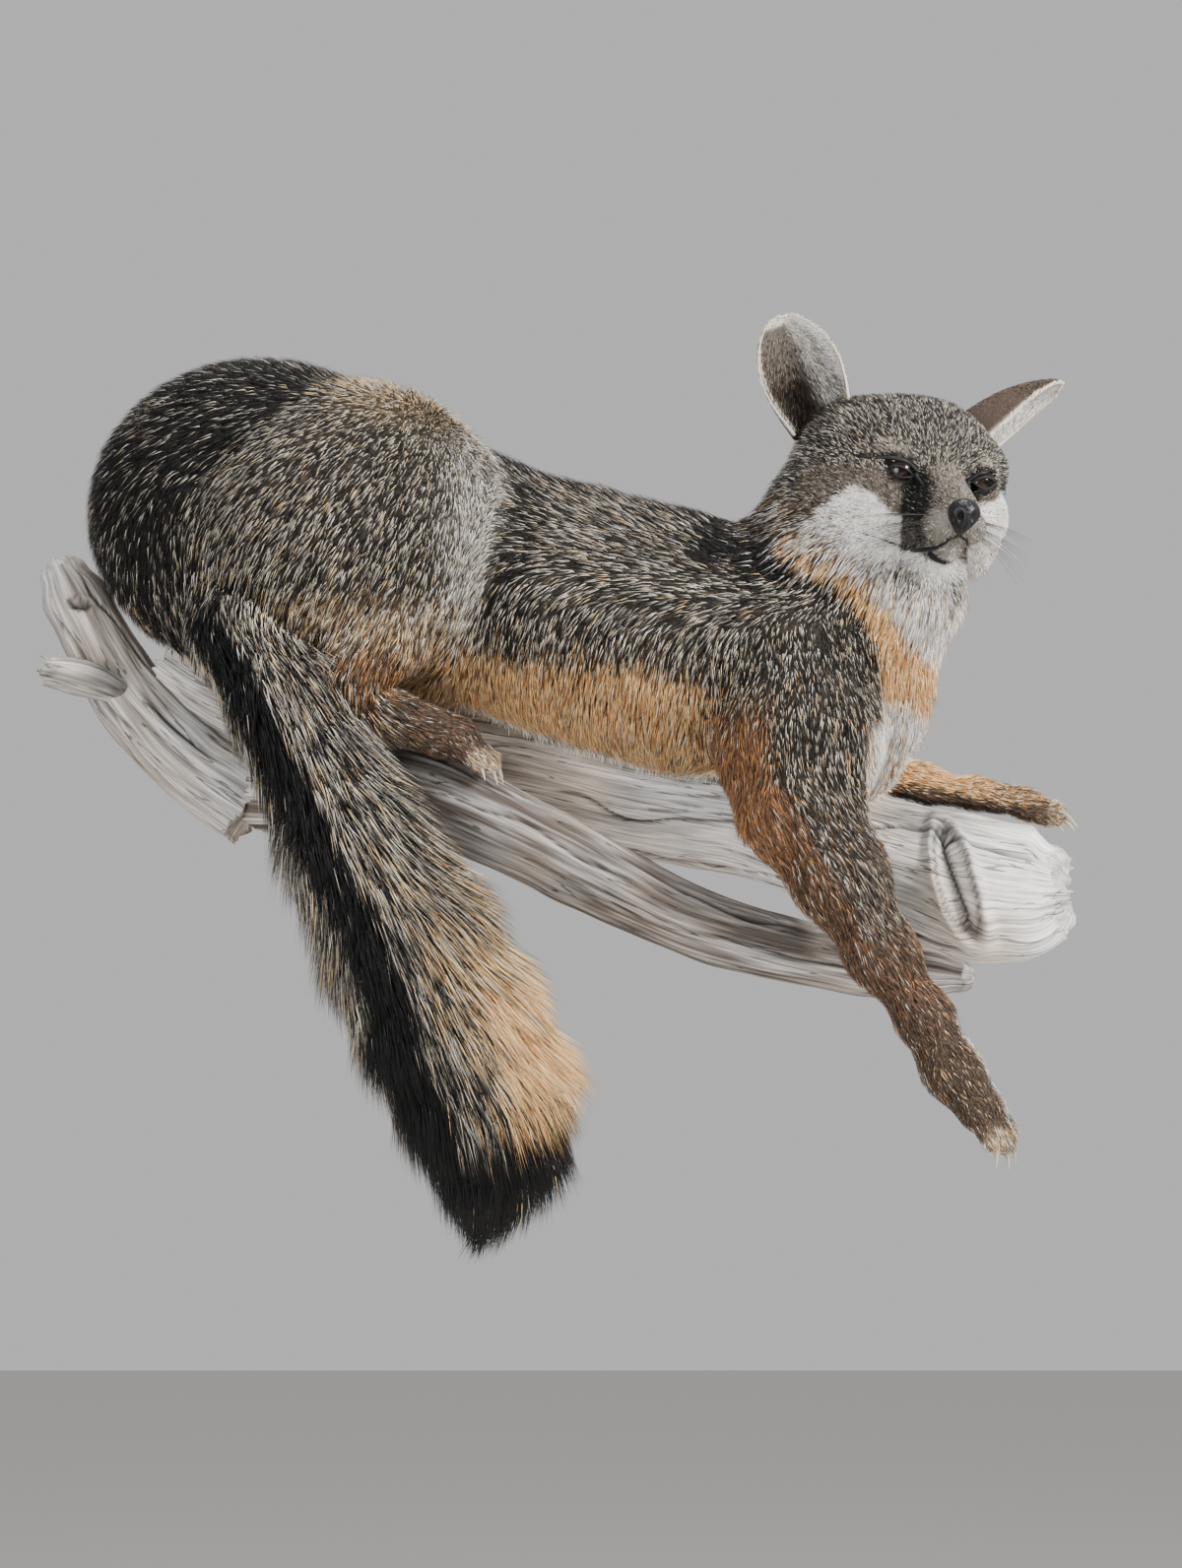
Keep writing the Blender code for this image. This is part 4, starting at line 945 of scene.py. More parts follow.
def head_markings(mix, points, part, throat):
    """The grizzled crown, grey muzzle, white cheeks and the dark lines of the face, with painted
    shade on the sides of the snout and painted light on the left cheek and the left side of the
    mouth.
    """
    head = part["head"]
    local = head_local(points)
    x, y, z = local.T
    side = np.abs(x)
    fill(mix, {"salt": 0.27, "pepper": 0.47, "black": 0.26}, head)
    # behind the cheeks and below the ears
    nape = ramp(y, 0.034, 0.050) * ramp(z, 0.040, 0.015)
    fill(mix, {"brown": 0.45, "tan": 0.20, "pepper": 0.35}, head * nape)
    # brows, and the fur between eye and cheek
    brow = ramp(line_distance(local, BROW_LINE), 0.006, 0.002)
    fill(mix, {"grey": 0.60, "salt": 0.40}, head * brow)
    below = ramp(-z, -0.002, 0.004) * ramp(side, 0.012, 0.018) * ramp(-y, -0.020, -0.010)
    fill(mix, {"grey": 0.40, "brown": 0.35, "pepper": 0.25}, head * below)
    # top of the muzzle and whisker pads
    muzzle = head * ramp(-y, 0.008, 0.016) * ramp(side, 0.020, 0.016)
    fill(mix, {"grey": 0.55, "brown": 0.20, "pepper": 0.15, "salt": 0.10}, muzzle)
    fill(mix, {"grey": 0.92, "white": 0.08}, muzzle * ramp(-z, 0.014, 0.022))
    # the dark patch on each side of the snout: partly the fox's dark marking, partly painted shade
    front = np.interp(z, [-0.036, -0.030, -0.021, -0.012, -0.003],
                      [-0.026, -0.034, -0.040, -0.034, -0.025])
    dark = ramp(side, 0.0060, 0.0100) * ramp(side, 0.0215, 0.0190) * ramp(y - front, -0.006, 0.010)
    dark = dark * ramp(-y, 0.004, 0.008) * ramp(z, 0.003, -0.003)
    fill(mix, {"black": 0.85, "pepper": 0.15}, head * dark)
    fill(mix, {"pepper": 0.45, "grey": 0.35, "black": 0.20}, head * dark * ramp(-z, 0.020, 0.030))
    # white cheek, throat and chin; higher on the left cheek, where the extra white is painted light
    edge = on_edge(CHEEK_EDGE, side) + 0.011 * ramp(x, 0.010, 0.016)
    cheek = ramp(edge - z, -0.001, 0.003) * ramp(side, 0.0185, 0.0205)
    forward = np.maximum(ramp(-y, -0.040, -0.030), throat)
    fill(mix, WHITE, head * cheek * forward)
    below_mouth = ramp(mouth_height(local) - 0.004 - z, -0.001, 0.003)
    fill(mix, {"white": 1.0}, head * below_mouth * ramp(-y, -0.050, -0.036))
    # lips, lids and the lines from the corners of the eye
    fold = head * ramp(mouth_distance(local), 0.0020, 0.0009) * ramp(side, 0.018, 0.022)
    fill(mix, {"brown": 0.55, "pepper": 0.45}, fold * ramp(side, 0.046, 0.036))
    fill(mix, BLACK, head * ramp(mouth_distance(local), 0.0022, 0.0012) * ramp(side, 0.026, 0.018))
    # black lower lip on the right side only: the paler left side is painted light
    lip = ramp(line_distance(local, LOWER_LIP), 0.0048, 0.0032) * ramp(-x, -0.003, 0.001)
    fill(mix, {"black": 0.85, "grey": 0.15}, head * lip)
    fill(mix, BLACK, head * ramp(line_distance(local, LID_LINE), 0.0036, 0.0018))
    fill(mix, BLACK, head * ramp(line_distance(local, TEAR_LINE), 0.0036, 0.0020))
    for eye_side in EYES:
        fill(mix, BLACK, head * ramp(lid_gap(local, eye_side), 0.0034, 0.0020))


def hair_colours(mix, dice, shade):
    """Root, band and tip colours of each tuft, drawn by chance from its mixture."""
    edges = np.cumsum(mix, axis=1)
    pick = np.minimum((dice[:, None] > edges).sum(axis=1), len(KINDS) - 1)
    table = np.array([HAIRS[kind] for kind in KINDS])
    return table[pick] * shade[:, None, None]


def skin_colours(mix, darkness):
    """The mean colour of the hair over the skin."""
    table = np.array([HAIRS[kind] for kind in KINDS]).mean(axis=1)
    return (mix @ table) * darkness[:, None]


# -------------------------------------------------------------- mesh helpers
def sparse_values(value_of, low, shape, step):
    """Values on a lattice, worked out only near the surface."""
    coarse = 4
    counts = [-(-(n - 1) // coarse) + 1 for n in shape]
    axes = [low[i] + step * coarse * np.arange(counts[i]) for i in range(3)]
    points = np.stack(np.meshgrid(*axes, indexing="ij"), axis=-1).reshape(-1, 3)
    rough = value_of(points.astype(np.float32)).reshape(counts)
    band = step * coarse * 2.2
    active = np.zeros([n - 1 for n in counts], dtype=bool)
    for i, j, k in CORNERS:
        corner = rough[i:counts[0] - 1 + i, j:counts[1] - 1 + j, k:counts[2] - 1 + k]
        active |= np.abs(corner) < band
    spread = [np.minimum(np.arange(n) // coarse, counts[i] - 2) for i, n in enumerate(shape)]
    values = rough[:-1, :-1, :-1][np.ix_(*spread)].astype(np.float32)
    chosen = np.argwhere(active[np.ix_(*spread)])
    places = (low + step * chosen).astype(np.float32)
    values[tuple(chosen.T)] = value_of(places)
    return values


def add_object(name, data):
    obj = bpy.data.objects.new(name, data)
    bpy.context.scene.collection.objects.link(obj)
    return obj


def new_mesh(name, vertices, faces, materials, attributes=None):
    mesh = bpy.data.meshes.new(name)
    faces = np.asarray(faces)
    mesh.vertices.add(len(vertices))
    mesh.vertices.foreach_set("co", np.asarray(vertices, dtype=np.float32).ravel())
    mesh.loops.add(faces.size)
    mesh.loops.foreach_set("vertex_index", faces.ravel().astype(np.int32))
    mesh.polygons.add(len(faces))
    starts = np.arange(0, faces.size, faces.shape[1], dtype=np.int32)
    mesh.polygons.foreach_set("loop_start", starts)
    shade_smooth(mesh)
    mesh.update(calc_edges=True)
    mesh.validate()
    for material in materials:
        mesh.materials.append(material)
    for key, values in (attributes or {}).items():
        set_colour(mesh, key, values)
    return add_object(name, mesh)


def shade_smooth(mesh):
    mesh.polygons.foreach_set("use_smooth", np.ones(len(mesh.polygons), dtype=bool))


def set_colour(mesh, key, values):
    layer = mesh.attributes.get(key) or mesh.attributes.new(key, "FLOAT_COLOR", "POINT")
    full = np.ones((len(mesh.vertices), 4), dtype=np.float32)
    full[:, :values.shape[1]] = values
    layer.data.foreach_set("color", full.ravel())


def set_uv(mesh, name, per_loop):
    layer = mesh.uv_layers.new(name=name)
    layer.data.foreach_set("uv", np.asarray(per_loop, dtype=np.float32).ravel())


def mesh_arrays(obj):
    """Vertices, their normals and triangles of an object."""
    mesh = obj.data
    mesh.calc_loop_triangles()
    vertices = np.zeros(len(mesh.vertices) * 3, dtype=np.float32)
    normals = np.zeros(len(mesh.vertices) * 3, dtype=np.float32)
    triangles = np.zeros(len(mesh.loop_triangles) * 3, dtype=np.int32)
    mesh.vertices.foreach_get("co", vertices)
    mesh.vertices.foreach_get("normal", normals)
    mesh.loop_triangles.foreach_get("vertices", triangles)
    return vertices.reshape(-1, 3), normals.reshape(-1, 3), triangles.reshape(-1, 3)


def noise(points, seed):
    """Smooth random values between -1 and 1 on a lattice of unit cells."""
    base = np.floor(points).astype(np.int64)
    part = points - base
    part = part * part * (3.0 - 2.0 * part)
    total = np.zeros(len(points))
    for corner in CORNERS:
        cell = base + corner
        code = (cell[:, 0] * 73856093) ^ (cell[:, 1] * 19349663) ^ (cell[:, 2] * 83492791)
        code = (code ^ (seed * 2654435761)) & 0x7FFFFFFF
        code = (code * 1103515245 + 12345) & 0x7FFFFFFF
        code = ((code >> 7) ^ code) * 69069 & 0x7FFFFFFF
        value = code / 0x3FFFFFFF - 1.0
        weight = np.prod(np.where(corner, part, 1.0 - part), axis=1)
        total += weight * value
    return total


# ----------------------------------------------------------------- materials
def shader_material(name, roughness, specular):
    material = bpy.data.materials.new(name)
    material.use_nodes = True
    shader = material.node_tree.nodes["Principled BSDF"]
    shader.inputs["Roughness"].default_value = roughness
    shader.inputs["Specular IOR Level"].default_value = specular
    return material, material.node_tree, shader


def attribute_colour(tree, shader, key):
    node = tree.nodes.new("ShaderNodeAttribute")
    node.attribute_name = key
    tree.links.new(node.outputs["Color"], shader.inputs["Base Color"])
    return node


def fine_bump(tree, shader, scale, strength, distance, detail):
    texture = tree.nodes.new("ShaderNodeTexNoise")
    texture.inputs["Scale"].default_value = scale
    texture.inputs["Detail"].default_value = detail
    place = tree.nodes.new("ShaderNodeTexCoord")
    tree.links.new(place.outputs["Object"], texture.inputs["Vector"])
    add_bump(tree, shader, texture.outputs["Fac"], strength, distance)


def add_bump(tree, shader, height, strength, distance):
    bump = tree.nodes.new("ShaderNodeBump")
    bump.inputs["Strength"].default_value = strength
    bump.inputs["Distance"].default_value = distance
    tree.links.new(height, bump.inputs["Height"])
    tree.links.new(bump.outputs["Normal"], shader.inputs["Normal"])


def plain_material(name, roughness, specular, tint=None, bump=None):
    """One tint, or the mesh's own colours where there is none, and a fine bump."""
    material, tree, shader = shader_material(name, roughness, specular)
    if tint:
        shader.inputs["Base Color"].default_value = (*tint, 1.0)
    else:
        attribute_colour(tree, shader, "coat")
    if bump:
        fine_bump(tree, shader, *bump)
    return material


# Name, roughness, specular level, tint, and the bump's scale, strength, depth and detail.
SKIN_LOOK = ("fox_skin", 0.75, 0.2, None, (900.0, 0.5, 0.0006, 4.0))
FUR_LOOK = ("fox_fur", 0.50, 0.35)
EYE_LOOK = ("fox_eye", 0.07, 0.35)
NOSE_LOOK = ("fox_nose", 0.33, 0.35, (0.006, 0.006, 0.008), (1500.0, 0.6, 0.0003, 2.0))
LID_LOOK = ("fox_lids", 0.55, 0.3, (0.006, 0.006, 0.007), (1500.0, 0.4, 0.0002, 2.0))
CLAW_LOOK = ("fox_claw", 0.35, 0.5)
WHISKER_LOOK = ("whisker_hair", 0.4, 0.4, (0.015, 0.014, 0.013))
FLOOR_LOOK = ("pale_floor", 0.9, 0.2, (0.62, 0.60, 0.57))


def stretched_noise(tree, vector, along, across, detail):
    """Noise whose spots are drawn out along the first axis of a vector."""
    scale = tree.nodes.new("ShaderNodeVectorMath")
    scale.operation = "MULTIPLY"
    scale.inputs[1].default_value = (along, across, across)
    tree.links.new(vector, scale.inputs[0])
    texture = tree.nodes.new("ShaderNodeTexNoise")
    texture.inputs["Scale"].default_value = 1.0
    texture.inputs["Detail"].default_value = detail
    tree.links.new(scale.outputs["Vector"], texture.inputs["Vector"])
    return texture.outputs["Fac"]


def wood_material():
    """Weathered grain that runs along the wood, with dark hairline checks."""
    material, tree, shader = shader_material("driftwood_grain", 0.72, 0.3)
    tint = attribute_colour(tree, shader, "coat").outputs["Color"]
    grain = tree.nodes.new("ShaderNodeAttribute")
    grain.attribute_name = "grain"

    def spanned(value, low, high, new_low, new_high):
        node = tree.nodes.new("ShaderNodeMapRange")
        for socket, amount in zip(("From Min", "From Max", "To Min", "To Max"),
                                  (low, high, new_low, new_high)):
            node.inputs[socket].default_value = amount
        tree.links.new(value, node.inputs["Value"])
        return node.outputs["Result"]

    def multiplied(first, second):
        node = tree.nodes.new("ShaderNodeMix")
        node.data_type = "RGBA"
        node.blend_type = "MULTIPLY"
        node.inputs["Factor"].default_value = 1.0
        tree.links.new(first, node.inputs["A"])
        tree.links.new(second, node.inputs["B"])
        return node.outputs["Result"]

    fibres = stretched_noise(tree, grain.outputs["Vector"], 40.0, 900.0, 4.0)
    tint = multiplied(tint, spanned(fibres, 0.30, 0.70, 0.48, 1.36))
    checks = tree.nodes.new("ShaderNodeMath")
    checks.operation = "COMPARE"
    checks.inputs[1].default_value = 0.5       # a check lies where the noise is this,
    checks.inputs[2].default_value = 0.010     # give or take this
    spots = stretched_noise(tree, grain.outputs["Vector"], 9.0, 150.0, 3.0)
    tree.links.new(spots, checks.inputs[0])
    tint = multiplied(tint, spanned(checks.outputs["Value"], 0.0, 1.0, 1.0, 0.36))
    tree.links.new(tint, shader.inputs["Base Color"])
    add_bump(tree, shader, fibres, 0.7, 0.0007)
    return material


def plate_material():
    """Stained board with its grain along X."""
    material, tree, shader = shader_material("plate_grain", 0.65, 0.3)
    place = tree.nodes.new("ShaderNodeTexCoord")
    fibres = stretched_noise(tree, place.outputs["Object"], 12.0, 220.0, 5.0)
    tint = tree.nodes.new("ShaderNodeValToRGB")
    stops = ((0.30, (0.055, 0.033, 0.018, 1.0)), (0.75, (0.20, 0.125, 0.070, 1.0)))
    for element, (position, shade) in zip(tint.color_ramp.elements, stops):
        element.position = position
        element.color = shade
    tree.links.new(fibres, tint.inputs["Fac"])
    tree.links.new(tint.outputs["Color"], shader.inputs["Base Color"])
    return material


# ---------------------------------------------------------------------- skin
SKIN_STEP = 0.0027         # lattice spacing of the skin
SKIN_DARKNESS = 0.62       # the skin against the hair that covers it
HEAD_LIGHTER = 0.30        # how much lighter the skin of the head is


def refine_face(obj):
    """Divides the faces of the muzzle and round the eyes into finer ones."""
    mesh = bmesh.new()
    mesh.from_mesh(obj.data)
    places = np.array([v.co for v in mesh.verts])
    local = head_local(places)
    on_face = (local[:, 1] < 0.014) & (np.linalg.norm(local, axis=1) < 0.075)
    edges = [e for e in mesh.edges if all(on_face[v.index] for v in e.verts)]
    bmesh.ops.subdivide_edges(mesh, edges=edges, cuts=3, use_grid_fill=True)
    mesh.to_mesh(obj.data)
    mesh.free()


def make_skin(material):
    low = np.min([form.low for form in FOX], axis=0) + FAR - 3 * SKIN_STEP
    high = np.max([form.high for form in FOX], axis=0) - FAR + 3 * SKIN_STEP
    shape = np.ceil((high - low) / SKIN_STEP).astype(int) + 1
    values = sparse_values(skin_value, low, shape, SKIN_STEP)
    vertices, quads = net_surface(untangle(values), low, SKIN_STEP)
    vertices = settle(vertices, skin_value, 0.4 * SKIN_STEP)
    skin = new_mesh("skin", vertices, quads, [material])
    keep_largest(skin)
    refine_face(skin)
    places, _, _ = mesh_arrays(skin)
    local = head_local(places)
    on_face = (local[:, 1] < 0.018) & (np.linalg.norm(local, axis=1) < 0.080)
    places[on_face] = settle(places[on_face], face_value, 0.0006, rounds=6)
    skin.data.vertices.foreach_set("co", places.ravel())
    skin.data.update()
    shade_smooth(skin.data)
    return skin


# ---------------------------------------------------------------------- ears
EAR_SHAPES = {   # base, axis and opening in the head's frame
    "ear_right": ((-0.0530, 0.040, 0.020), (-0.46, 0.30, 0.90), (-0.25, -0.95, 0.0)),
    "ear_left": ((0.0290, 0.044, 0.022), (0.80, 0.22, 0.58), (0.50, -0.42, -0.75)),
}
EAR_ROWS, EAR_COLUMNS = 60, 48
EAR_SKIN = 0.0011          # thickness of the ear itself, without its fur
EAR_DARKNESS = 0.8         # the ear's skin against the hair on it
EAR_FRONT_EDGE = {"ear_right": 1.0, "ear_left": -1.0}   # the edge nearer the middle of the head


def ear_axes(name):
    turn = HEAD_TURN.to_matrix()
    base, axis, opening = EAR_SHAPES[name]
    axis = (turn @ Vector(axis)).normalized()
    opening = turn @ Vector(opening)
    opening = (opening - axis * opening.dot(axis)).normalized()
    side = axis.cross(opening)
    return (np.array(v) for v in (head_point(base), axis, opening, side))


def ear_sheet(name, share, turn):
    """Middle of the ear's wall and its outward normal, at (share, turn) arrays."""
    base, axis, opening, side = ear_axes(name)
    taper = np.where(share < 0.45, 1.0,
                     np.sqrt(np.clip(1.0 - ((share - 0.45) / 0.57) ** 2, 0.0, 1.0)))
    width = EAR_HALF_WIDTH * (0.78 + 0.22 * np.sin(math.pi * np.minimum(share, 0.5))) * taper
    depth = width * (0.95 - 0.50 * share)
    angle = np.radians(115.0 - 35.0 * share) * turn
    middle = (base + np.outer(EAR_LENGTH * share, axis)
              + np.outer(np.sin(angle) * width, side)
              - np.outer(np.cos(angle) * depth, opening))
    normal = np.outer(np.sin(angle) / width, side) - np.outer(np.cos(angle) / depth, opening)
    return middle, unit(normal)


def make_ear(name, material):
    share, turn = np.meshgrid(np.linspace(0.0, 1.0, EAR_ROWS),
                              np.linspace(-1.0, 1.0, EAR_COLUMNS), indexing="ij")
    share, turn = share.ravel(), turn.ravel()
    middle, normal = ear_sheet(name, share, turn)
    edge = np.minimum(1.0 - np.abs(turn), (1.0 - share) * 1.5)
    half = 0.5 * EAR_SKIN * np.sqrt(np.clip(edge / 0.08, 0.15, 1.0))[:, None]
    vertices = np.concatenate([middle + normal * half, middle - normal * half])
    count = EAR_ROWS * EAR_COLUMNS
    grid = np.arange(count).reshape(EAR_ROWS, EAR_COLUMNS)
    a, b = grid[:-1, :-1].ravel(), grid[:-1, 1:].ravel()
    c, d = grid[1:, 1:].ravel(), grid[1:, :-1].ravel()
    faces = [np.stack([a, b, c, d], axis=1), np.stack([d, c, b, a], axis=1) + count]
    rim = np.concatenate([grid[0, :], grid[1:, -1], grid[-1, -2::-1], grid[-2:0:-1, 0]])
    following = np.roll(rim, -1)
    faces.append(np.stack([following, rim, rim + count, following + count], axis=1))
    share, turn = np.tile(share, 2), np.tile(turn, 2)
    mix = ear_colours(name, share, turn, np.arange(2 * count) < count)
    mix /= mix.sum(axis=1, keepdims=True)
    tint = skin_colours(mix, np.full(len(mix), EAR_DARKNESS))
    return new_mesh(name + "_shell", vertices, np.concatenate(faces), [material], {"coat": tint})


def ear_colours(name, share, turn, outside):
    """Hair mixture over an ear: outside is True on its back."""
    mix = np.zeros((len(share), len(KINDS)))
    fill(mix, {"brown": 0.60, "pepper": 0.40}, outside.astype(float))
    inner = (~outside).astype(float)
    toward = turn * EAR_FRONT_EDGE[name]
    fill(mix, {"grey": 0.45, "brown": 0.30, "pepper": 0.25}, inner)
    if name == "ear_left":
        fill(mix, {"white": 0.90, "grey": 0.10}, inner)
    deep = inner * ramp(np.abs(toward + 0.10), 0.62, 0.40) * ramp(share, 0.62, 0.40)
    fill(mix, {"black": 0.70, "brown": 0.30}, deep)
    streaks = inner * ramp(toward, 0.00, 0.25) * ramp(share, 0.12, 0.22)
    fill(mix, {"white": 0.40, "grey": 0.35, "brown": 0.25}, streaks)
    long_hair = inner * ramp(toward, 0.50, 0.75) * ramp(share, 0.25, 0.40)
    fill(mix, {"white": 0.90, "grey": 0.10}, long_hair)
    rim = np.clip(ramp(np.abs(turn), 0.90, 0.96) + ramp(share, 0.94, 0.98), 0.0, 1.0)
    fill(mix, {"white": 0.8, "tan": 0.2}, rim * 0.9)
    return mix


def join(objects):
    """Joins objects into the first one."""
    for obj in bpy.context.selected_objects:
        obj.select_set(False)
    for obj in objects:
        obj.select_set(True)
    bpy.context.view_layer.objects.active = objects[0]
    bpy.ops.object.join()
    return objects[0]


# --------------------------------------------------------------------- tufts
def scatter(triangles, vertices, normals, density, count):
    """Random roots on a surface, denser where density is higher."""
    a, b, c = (vertices[triangles[:, i]] for i in range(3))
    area = 0.5 * np.linalg.norm(np.cross(b - a, c - a), axis=1)
    weight = area * density
    chosen = RANDOM.choice(len(triangles), size=count, p=weight / weight.sum())
    u, v = RANDOM.random(count), RANDOM.random(count)
    over = u + v > 1.0
    u[over], v[over] = 1.0 - u[over], 1.0 - v[over]
    shares = np.stack([1.0 - u - v, u, v], axis=1)
    corner = triangles[chosen]
    roots = np.einsum("nk,nkd->nd", shares, vertices[corner])
    normal = unit(np.einsum("nk,nkd->nd", shares, normals[corner]))
    return roots, normal


def clump(roots, tips, cell, pull):
    """Draws the tips of neighbouring tufts together."""
    place = np.floor(roots / cell + RANDOM.random(3)).astype(np.int64)
    place -= place.min(axis=0)
    code = (place[:, 0] * 4096 + place[:, 1]) * 4096 + place[:, 2]
    _, group = np.unique(code, return_inverse=True)
    counts = np.bincount(group)
    means = np.stack([np.bincount(group, tips[:, i]) for i in range(3)], axis=1) / counts[:, None]
    return tips + pull * (means[group] - tips)


def grow(roots, normals, flow, length, width, slope):
    """Five points of each tuft: root, three round its widest place, and tip."""
    count = len(roots)
    flow = unit(flow - normals * (flow * normals).sum(axis=1)[:, None])
    side = np.cross(normals, flow)
    swing = RANDOM.normal(0.0, 0.16, count)[:, None]
    flow = unit(flow + side * swing)
    side = np.cross(normals, flow)
    length = length * RANDOM.uniform(0.72, 1.18, count)
    rise = np.radians(slope * RANDOM.uniform(0.75, 1.30, count))
    start, end = rise * 1.35, rise * 0.65
    rising = flow * np.cos(start)[:, None] + normals * np.sin(start)[:, None]
    middle = roots + rising * (0.42 * length)[:, None]
    falling = flow * np.cos(end)[:, None] + normals * np.sin(end)[:, None]
    tip = middle + falling * (0.58 * length)[:, None]
    for cell, pull in CLUMPS:
        tip = clump(roots, tip, cell, pull)
    lift = np.cross(unit(tip - roots), side)
    half = 0.5 * width[:, None]
    points = np.stack([roots, middle + side * half, middle - side * half,
                       middle + lift * half * 0.7, tip], axis=1)
    return points


TUFT_FACES = np.array([(0, 1, 3), (0, 3, 2), (0, 2, 1), (4, 3, 1), (4, 2, 3), (4, 1, 2)])
# Where a tuft's five points lie round the place of its root on the unwrap.
PATCH = 0.0015 * np.array([(-1.0, 0.0), (0.0, 1.0), (0.0, -1.0), (0.2, 0.35), (1.0, 0.0)])
UNWRAP_MARGIN = 0.02
COAT_TO_WALL = 0.0030      # the least distance of a tuft from the wall
CLUMPS = ((0.0055, 0.30), (0.0130, 0.12))   # cell size and pull of each round of clumping


def clear_of_wood(points):
    """Moves points out of the wood and away from the wall."""
    flat = points.reshape(-1, 3).astype(np.float32)
    for _ in range(3):
        value = wood_value(flat)
        inside = np.flatnonzero(value < 0.0004)
        if not len(inside):
            break
        flat[inside] = settle(flat[inside], lambda p: wood_value(p) - 0.0006, 0.004, rounds=1)
    flat[:, 1] = np.minimum(flat[:, 1], -COAT_TO_WALL)
    return flat.reshape(points.shape)


def tuft_mesh(name, points, colours, places, material):
    """One joined mesh of closed tufts; places are their roots on the unwrap."""
    count = len(points)
    faces = (TUFT_FACES[None] + 5 * np.arange(count)[:, None, None]).reshape(-1, 3)
    tint = np.stack([colours[:, 0], colours[:, 1], colours[:, 1], colours[:, 1], colours[:, 2]],
                    axis=1).reshape(-1, 3)
    obj = new_mesh(name, points.reshape(-1, 3), faces, [material], {"coat": tint})
    low, high = places.min(axis=0), places.max(axis=0)
    places = UNWRAP_MARGIN + (1.0 - 2.0 * UNWRAP_MARGIN) * (places - low) / (high - low)
    corners = places[:, None, None, :] + PATCH[TUFT_FACES][None]
    set_uv(obj.data, "OFBake", corners.reshape(-1, 2))
    return obj


def tuft_lengths(points, share):
    """Length and width of the tufts at their roots."""
    length = blended(share, LENGTH)
    width = blended(share, WIDTH)
    head = share[HEAD]
    local = head_local(points)
    fluff = head_fluff(points)
    on_head = 0.0030 + 0.0125 * fluff + 0.0015 * ramp(local[:, 2], 0.010, 0.030)
    throat = ramp(-local[:, 2], 0.030, 0.045) * ramp(local[:, 1], -0.02, 0.02)
    on_head = on_head + 0.006 * throat
    on_head = on_head - 0.0009 * ramp(-local[:, 1], 0.012, 0.022)
    on_head = on_head * (1.0 - 0.35 * ramp(local[:, 0], 0.028, 0.040))
    width_there = 0.00026 + 0.00022 * fluff
    tail = tail_share(share)
    length = length + tail * (0.0160 + 0.0190 * tail_fluff(points) - length)
    length = length * (1.0 - head) + head * on_head
    width = width * (1.0 - head) + head * width_there
    return length, width


def bare(points):
    """Places where no tuft may root: the slit of the lids and the lips' edge."""
    local = head_local(points)
    hidden = (mouth_distance(local) < 0.0010) | (line_distance(local, LOWER_LIP) < 0.0014)
    for side in EYES:
        hidden |= lid_gap(local, side) < 0.0006
    nose = (local - np.array(NOSE_PAD[0])) / (np.array(NOSE_PAD[1]) + 0.0006)
    return hidden | ((nose * nose).sum(axis=1) < 1.0)


GROUP_OF_PART = {"neck": "coat_neck", "head": "coat_head", "haunch_right": "coat_thighs",
                 "haunch_left": "coat_thighs", "tail_root": "coat_tail",
                 "tail_middle": "coat_tail", "tail_tip": "coat_tail_tip"}
LIMB_CHAINS = {"right_fore": FORELEG_RIGHT, "left_fore": FORELEG_LEFT,
               "right_hind": HIND_RIGHT, "left_hind": HIND_LEFT}
TUFT_LIMIT = 32500       # tufts in one coat piece
TUFT_TOTAL = 231000      # tufts on the body
EAR_TUFTS = 9000         # tufts on one ear
FAR_SIDE = 0.45          # density on the side that faces the wall


def group_names(points, share):
    top = np.argmax(share, axis=0)
    names = np.array([GROUP_OF_PART.get(part, "coat_legs") for part in PARTS], dtype=object)[top]
    trunk = top == TRUNK
    names[trunk & (points[:, 0] < -0.050)] = "coat_rump"
    names[trunk & (points[:, 0] >= -0.050)] = "coat_flanks"
    face = (names == "coat_head") & (head_local(points)[:, 1] < 0.012)
    names[face] = "coat_face"
    return names


def around(points, centre, first, second):
    offset = points - np.array(centre)
    return np.arctan2(offset @ np.array(second), offset @ np.array(first))


def unwrap(points, group):
    """Length along the form and angle round it, as places on a flat unwrap."""
    if group in ("coat_face", "coat_head"):
        local = head_local(points)
        angle = np.arctan2(local[:, 0], local[:, 2] + 0.012)
        return np.stack([angle, local[:, 1]], axis=1)
    if group == "coat_neck":
        return np.stack([around(points, (0.13, -0.11, 0.0), (1, 0, 0), (0, 1, 0)),
                         points[:, 2]], axis=1)
    if group in ("coat_tail", "coat_tail_tip"):
        share, offset, heading = chain_place(points, TAIL_POINTS)
        side = unit(np.cross(heading, ROOM))
        angle = np.arctan2((offset * side).sum(axis=1), -offset[:, 1])
        return np.stack([angle, share], axis=1)
    if group == "coat_legs":
        best = np.full(len(points), np.inf)
        places = np.zeros((len(points), 2))
        for number, chain_points in enumerate(LIMB_CHAINS.values()):
            share, offset, _ = chain_place(points, chain_points)
            distance = np.linalg.norm(offset, axis=1)
            closer = distance < best
            best[closer] = distance[closer]
            angle = np.arctan2(offset[:, 2], offset[:, 1]) / (2.2 * math.pi)
            places[closer, 0] = (number + 0.5 + angle)[closer]
            places[closer, 1] = share[closer]
        return places
    angle = np.arctan2(spine_height(points), points[:, 1] + 0.086)
    return np.stack([angle, points[:, 0]], axis=1)


